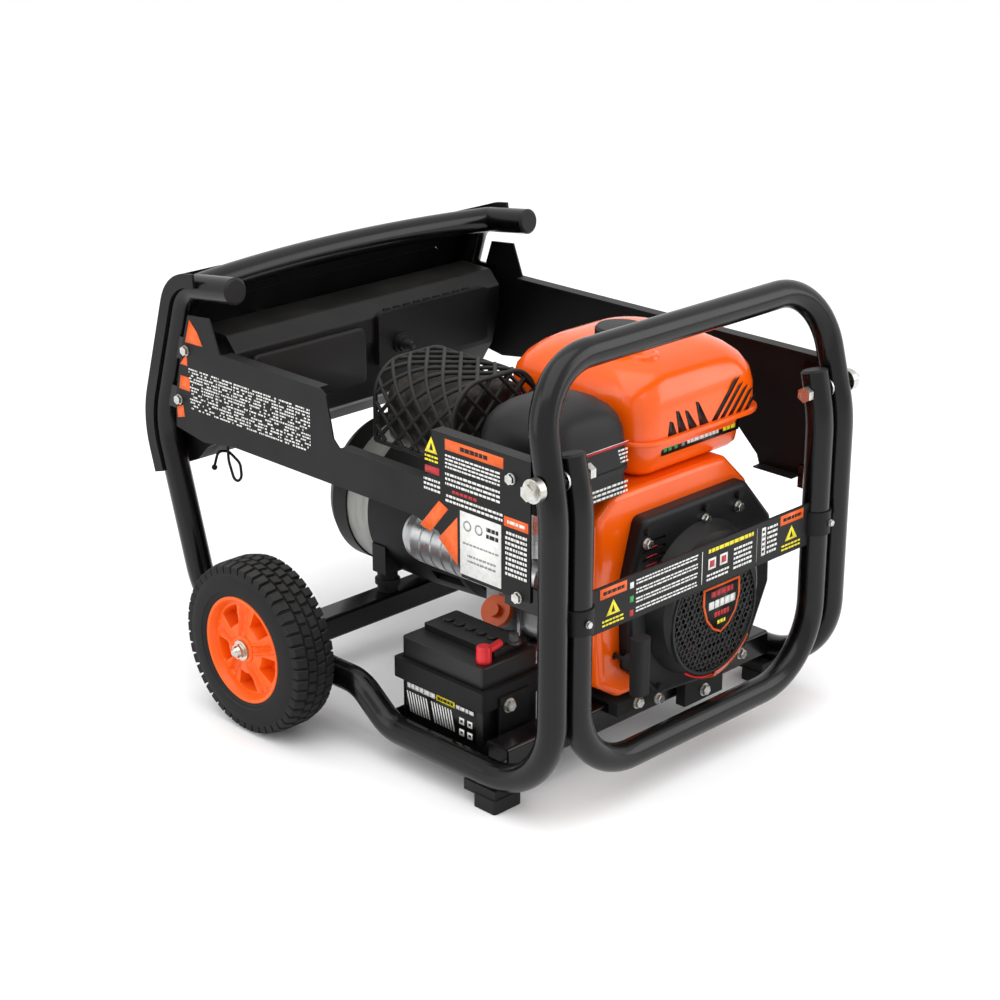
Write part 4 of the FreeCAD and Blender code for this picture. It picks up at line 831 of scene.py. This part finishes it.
def recoilDetail():
    low = boxOf("recoil_cover")[0]
    shaftLow, shaftHigh = boxOf("crankshaft")
    axle = Vector(((shaftLow.x + shaftHigh.x) / 2, low.y, (shaftLow.z + shaftHigh.z) / 2))
    work = bmesh.new()
    cell = recoilLook["cell"]
    back, face = recoilLook["screenBack"], recoilLook["screenFace"]
    for row in range(-12, 13):
        for column in range(-12, 13):
            x = (column + (row % 2) * 0.5) * cell
            z = row * cell * 0.866                  # rows of hexagons lie closer than their width
            if math.hypot(x, z) > recoilLook["reach"] - cell / 2:
                continue
            middle = axle + Vector((x, 0, z)) * mm
            outer, inner = cell / math.sqrt(3), cell / math.sqrt(3) - recoilLook["bar"]
            turns = [math.radians(30 + 60 * i) for i in range(6)]
            loops = []
            for r, y in ((outer, back), (outer, face), (inner, face), (inner, back)):
                loops.append([middle + Vector((r * math.cos(t), y, r * math.sin(t))) * mm for t in turns])
            loft(work, loops, closed=True)
    rim = [circleRing(axle + axisY * (y * mm), r * mm, axisX, axisZ, 72)
           for y, r in ((0.2, 69.5), (-1.6, 70), (-1.6, 73), (0.2, 73.8))]
    loft(work, rim, closed=True)
    bmesh.ops.recalc_face_normals(work, faces=work.faces)
    mesh = bpy.data.meshes.new("airScreen")
    work.to_mesh(mesh)
    work.free()
    place("airScreen", mesh, "frame", "recoil_cover", ["grainedBlackAbs"], smooth=40)
    # accent moulding round the lower right of the drum, and a thin line round its lower left
    work = bmesh.new()
    section = [(74.6, 0.4), (82, 4.8), (91, 22), (92.4, 21.2), (83.2, 3.2), (74.6, -1.2)]
    line = [(75.5, 1.2), (77.5, 2.4), (77.5, 0.6), (75.5, -0.4)]
    for start, end, outline, ink in ((-86, -36, section, 0), (-128, -90, line, 1)):
        rings = []
        for i in range(25):
            turn = math.radians(start + (end - start) * i / 24)
            ring = [Vector((r * math.cos(turn), y, r * math.sin(turn))) * mm for r, y in outline]
            rings.append([axle + p for p in ring])
        loft(work, rings, ink)
    place("recoilAccent", toMesh("recoilAccent", work), "frame", "recoil_cover", ["orangeEnamel", "redPvc"],
          smooth=40)
    work = bmesh.new()
    for x, z in ((6, 106), (64, 106), (-92, 104), (80, -84), (-66, -92)):
        hexHead(work, axle + Vector((x, recoilLook["rimStep"] - 0.4, z)) * mm, -axisY, 9.5, 6.4)
    place("recoilBolts", toMesh("recoilBolts", work), "frame", "recoil_cover", ["zincPlate"], smooth=30)
    # blank shield badge, dashed line and louvre lines
    outline = [(-22, 34), (42, 34), (43, 14), (37, -6), (25, -20), (11, -27), (-3, -20), (-15, -6), (-22, 14)]
    inner = [((x - 10.5) * 0.9 + 10.5, (z - 5) * 0.91 + 5) for x, z in outline]
    badge = [shape("orangeInk", outline, 6), shape("blackVinyl", inner, 7)]
    badge += dashRows("redInk", -8, 20, 30, 28, 1, (5, 9), 0.9, layer=8)
    badge += dashRows("whiteInk", -12, 6, 34, 16, 1, (6, 10), 0.95, layer=8)
    badge += dashRows("redInk", -2, -6, 24, 2, 1, (3, 7), 0.8, layer=8)
    badge += dashRows("yellowInk", 4, -15, 18, -10, 1, (3, 5), 0.9, layer=8)
    printed("recoilBadge", axle - axisY * (0.7 * mm), axisX, axisZ, -axisY, badge, "recoil_cover")
    marks = dashRows("redInk", -40, 67, 104, 69, 1, (2, 4), 0.8)
    marks += [rect("redInk", -92, 76 + 10 * i, -74, 77.4 + 10 * i) for i in range(3)]
    rimFace = axle + axisY * (recoilLook["rimStep"] * mm)
    printed("recoilMarks", rimFace, axisX, axisZ, -axisY, marks, "recoil_cover")


recoilDetail()
print("recoil starter detailed")


# battery
batteryLook = {"caps": 6, "firstCap": 22, "capPitch": 17.5, "capInset": 32, "bootArm": 4.6}


def batteryDetail():
    low, high = boxOf("battery_case")
    label = [rect("blackVinyl", 10, 12, 124, 56)]
    label += dashRows("whiteInk", 76, 46, 122, 53, 1, (5, 9), 0.9, layer=2)
    label.append(rect("yellowInk", 44, 46, 74, 53, 2))
    label += dashRows("blackVinyl", 47, 47, 72, 52, 1, (3, 6), 0.7, layer=3)
    label += dashRows("whiteInk", 14, 46, 42, 52, 1, (4, 8), 0.8, layer=2)
    for start in (44, 84):
        for i in range(8):
            a = start + 4.4 * i
            label.append(shape("whiteInk", [(a, 17), (a + 2, 17), (a + 8, 42), (a + 6, 42)], 2))
    for a in (16, 29):
        for b in (16, 30):
            label.append(rect("whiteInk", a, b, a + 8, b + 8, 2))
            label.append(rect("blackVinyl", a + 2, b + 2.5, a + 6, b + 5.5, 3))
    printed("batteryPrint", low.copy(), axisY, axisZ, -axisX, label, "battery_case")
    work = bmesh.new()
    strapLow, strapHigh = boxOf("battery_strap")
    hexHead(work, Vector((strapLow.x + 38 * mm, strapLow.y, strapHigh.z - 24 * mm)), -axisY, 12, 6)
    place("strapBolt", toMesh("strapBolt", work), "frame", "battery_strap", ["zincPlate"], smooth=30)
    # filler cap discs on the lid
    work = bmesh.new()
    for i in range(batteryLook["caps"]):
        along = batteryLook["firstCap"] + batteryLook["capPitch"] * i
        foot = Vector((high.x - batteryLook["capInset"] * mm, low.y + along * mm, high.z - 0.2 * mm))
        loft(work, [circleRing(foot + axisZ * (h * mm), r * mm, axisX, axisY, 20)
                    for h, r in ((0, 6.2), (1.6, 6.2), (2.2, 5.4))])
    place("fillerDiscs", toMesh("fillerDiscs", work), "frame", "battery_case", ["glossBlackPlastic"],
          smooth=30)
    # terminals: red boot with its arm, plain lead post
    bootLow, bootHigh = boxOf("battery_terminals")
    work = bmesh.new()
    middle = Vector((bootLow.x + 9 * mm, (bootLow.y + bootHigh.y) / 2, bootLow.z))
    top = bootHigh.z - bootLow.z
    loft(work, [circleRing(middle + axisZ * (top * h), r * mm, axisX, axisY, 28)
                for h, r in ((0, 8.6), (0.1, 9), (0.86, 8.6), (0.96, 7.6), (1, 5.8))])
    arm = middle + Vector((0, 0, 0.62 * top))
    wire(work, [arm, arm + axisX * (12 * mm), arm + Vector((26, 1, 2)) * mm], batteryLook["bootArm"] * mm, 14)
    place("redBoot", toMesh("redBoot", work), "frame", "battery_terminals", ["redPvc"],
          ["battery_terminals"], smooth=50)
    work = bmesh.new()
    post = Vector((bootHigh.x - 8 * mm, middle.y, bootLow.z + 8 * mm))
    loft(work, [circleRing(post + axisZ * (h * mm), r * mm, axisX, axisY, 24)
                for h, r in ((0, 8), (3, 8), (3.2, 6.2), (11, 5.4), (11.6, 4.8))])
    place("leadPost", toMesh("leadPost", work), "frame", "battery_terminals", ["castIron"], smooth=40)


batteryDetail()
print("battery detailed")


# control box and mounts
boxLook = {"panelHalf": (88, 36), "panelCorner": 9, "slots": 9, "firstSlot": 236, "slotPitch": 17}


def controlBoxDetail():
    low, high = boxOf("control_box")
    work = bmesh.new()
    middle = Vector((low.x + 111 * mm, low.y, low.z + 107 * mm))
    halfA, halfB = boxLook["panelHalf"]
    corner = boxLook["panelCorner"] * mm
    rings = [roundedRing(middle + axisY * (d * mm), (halfA - i) * mm, (halfB - i) * mm, corner,
                         axisX, axisZ, 6) for d, i in ((12, 0), (3, 0), (0.8, 1), (0, 3.2))]
    loft(work, rings)
    for i in range(boxLook["slots"]):
        along = boxLook["firstSlot"] + boxLook["slotPitch"] * i
        start = Vector((low.x + along * mm, low.y + 8.6 * mm, low.z + 155 * mm))
        block(work, start, start + Vector((10, 3, 2)) * mm)
    gland = Vector((high.x - 178 * mm, low.y, low.z + 112 * mm))
    loft(work, [circleRing(gland - axisY * (d * mm), r * mm, axisX, axisZ, 24)
                for d, r in ((-2, 13), (3, 13), (3.4, 10.5), (9, 10), (9.4, 7), (20, 5.6), (21, 4))])
    place("controlBoxPanels", toMesh("controlBoxPanels", work), "frame", "control_box", ["grainedBlackAbs"],
          smooth=40)
    mountLow = boxOf("engine_mounts")[0]
    crank = boxOf("crankshaft")
    middleX = (crank[0].x + crank[1].x) / 2
    work = bmesh.new()
    for x, z in ((42, 36), (40, 12), (-78, 36)):
        hexHead(work, Vector((middleX + x * mm, mountLow.y, mountLow.z + z * mm)), -axisY, 11, 6)
    place("mountBolts", toMesh("mountBolts", work), "frame", "engine_mounts", ["zincPlate"], smooth=30)


controlBoxDetail()
print("control box detailed")


# rear panel print
panelLook = {"lean": 0.32, "slab": 3.0, "dial": (46, 26), "dialRise": 3.1}


def panelPrint():
    lean = math.atan(panelLook["lean"])
    out = Vector((0, math.cos(lean), math.sin(lean)))
    rise = Vector((0, -math.sin(lean), math.cos(lean)))
    low, high = boxOf("control_panel")
    face = (low + high) / 2 + out * (panelLook["slab"] / 2 * mm)
    marks = [rect("whiteInk", -188, 48, 188, 48.8), rect("whiteInk", -188, -47, 188, -46.2)]
    for node, text in (("socket_lid_left", 40), ("socket_lid_right", 40), ("key_switch", 22),
                       ("voltmeter", 40)):
        nodeLow, nodeHigh = boxOf(node)
        a = -(nodeLow.x + nodeHigh.x) / 2 / mm
        marks += dashRows("whiteInk", a - text / 2, 37, a + text / 2, 43, 1, (4, 8), 0.7)
        marks += dashRows("greyInk", a - text / 2, -43, a + text / 2, -37, 1, (3, 6), 0.55)
    keyLow, keyHigh = boxOf("key_switch")
    a = -(keyLow.x + keyHigh.x) / 2 / mm
    for turn, ink in ((-50, "whiteInk"), (0, "greenInk"), (50, "redInk")):
        t = math.radians(90 + turn)
        x, z = a + 19 * math.cos(t), 12 + 19 * math.sin(t)
        marks.append(rect(ink, x - 1.5, z - 1.5, x + 1.5, z + 1.5))
    printed("panelPrint", face, -axisX, rise, out, marks, "control_panel")
    # white dial of the voltmeter with its scale and needle, behind the window's rim
    wide, tall = panelLook["dial"]
    meterLow, meterHigh = boxOf("voltmeter")
    a, b = -(meterLow.x + meterHigh.x) / 2 / mm, 14
    dial = [rect("whiteInk", a - wide / 2, b - tall / 2, a + wide / 2, b + tall / 2)]
    for i in range(9):
        t = math.radians(150 - 15 * i)
        x, z = a + 19 * math.cos(t), b - 10 + 19 * math.sin(t)
        dial.append(rect("blackVinyl", x - 0.5, z - 1.6, x + 0.5, z + 1.6, 2))
    dial.append(shape("redInk", [(a - 1, b - 10), (a + 1, b - 10), (a + 8, b + 5), (a + 7, b + 5)], 3))
    dial.append(rect("blackVinyl", a - wide / 2, b - tall / 2, a + wide / 2, b - 8, 4))
    printed("meterDial", face + out * (panelLook["dialRise"] * mm), -axisX, rise, out, dial, "voltmeter")


panelPrint()
print("rear panel printed")
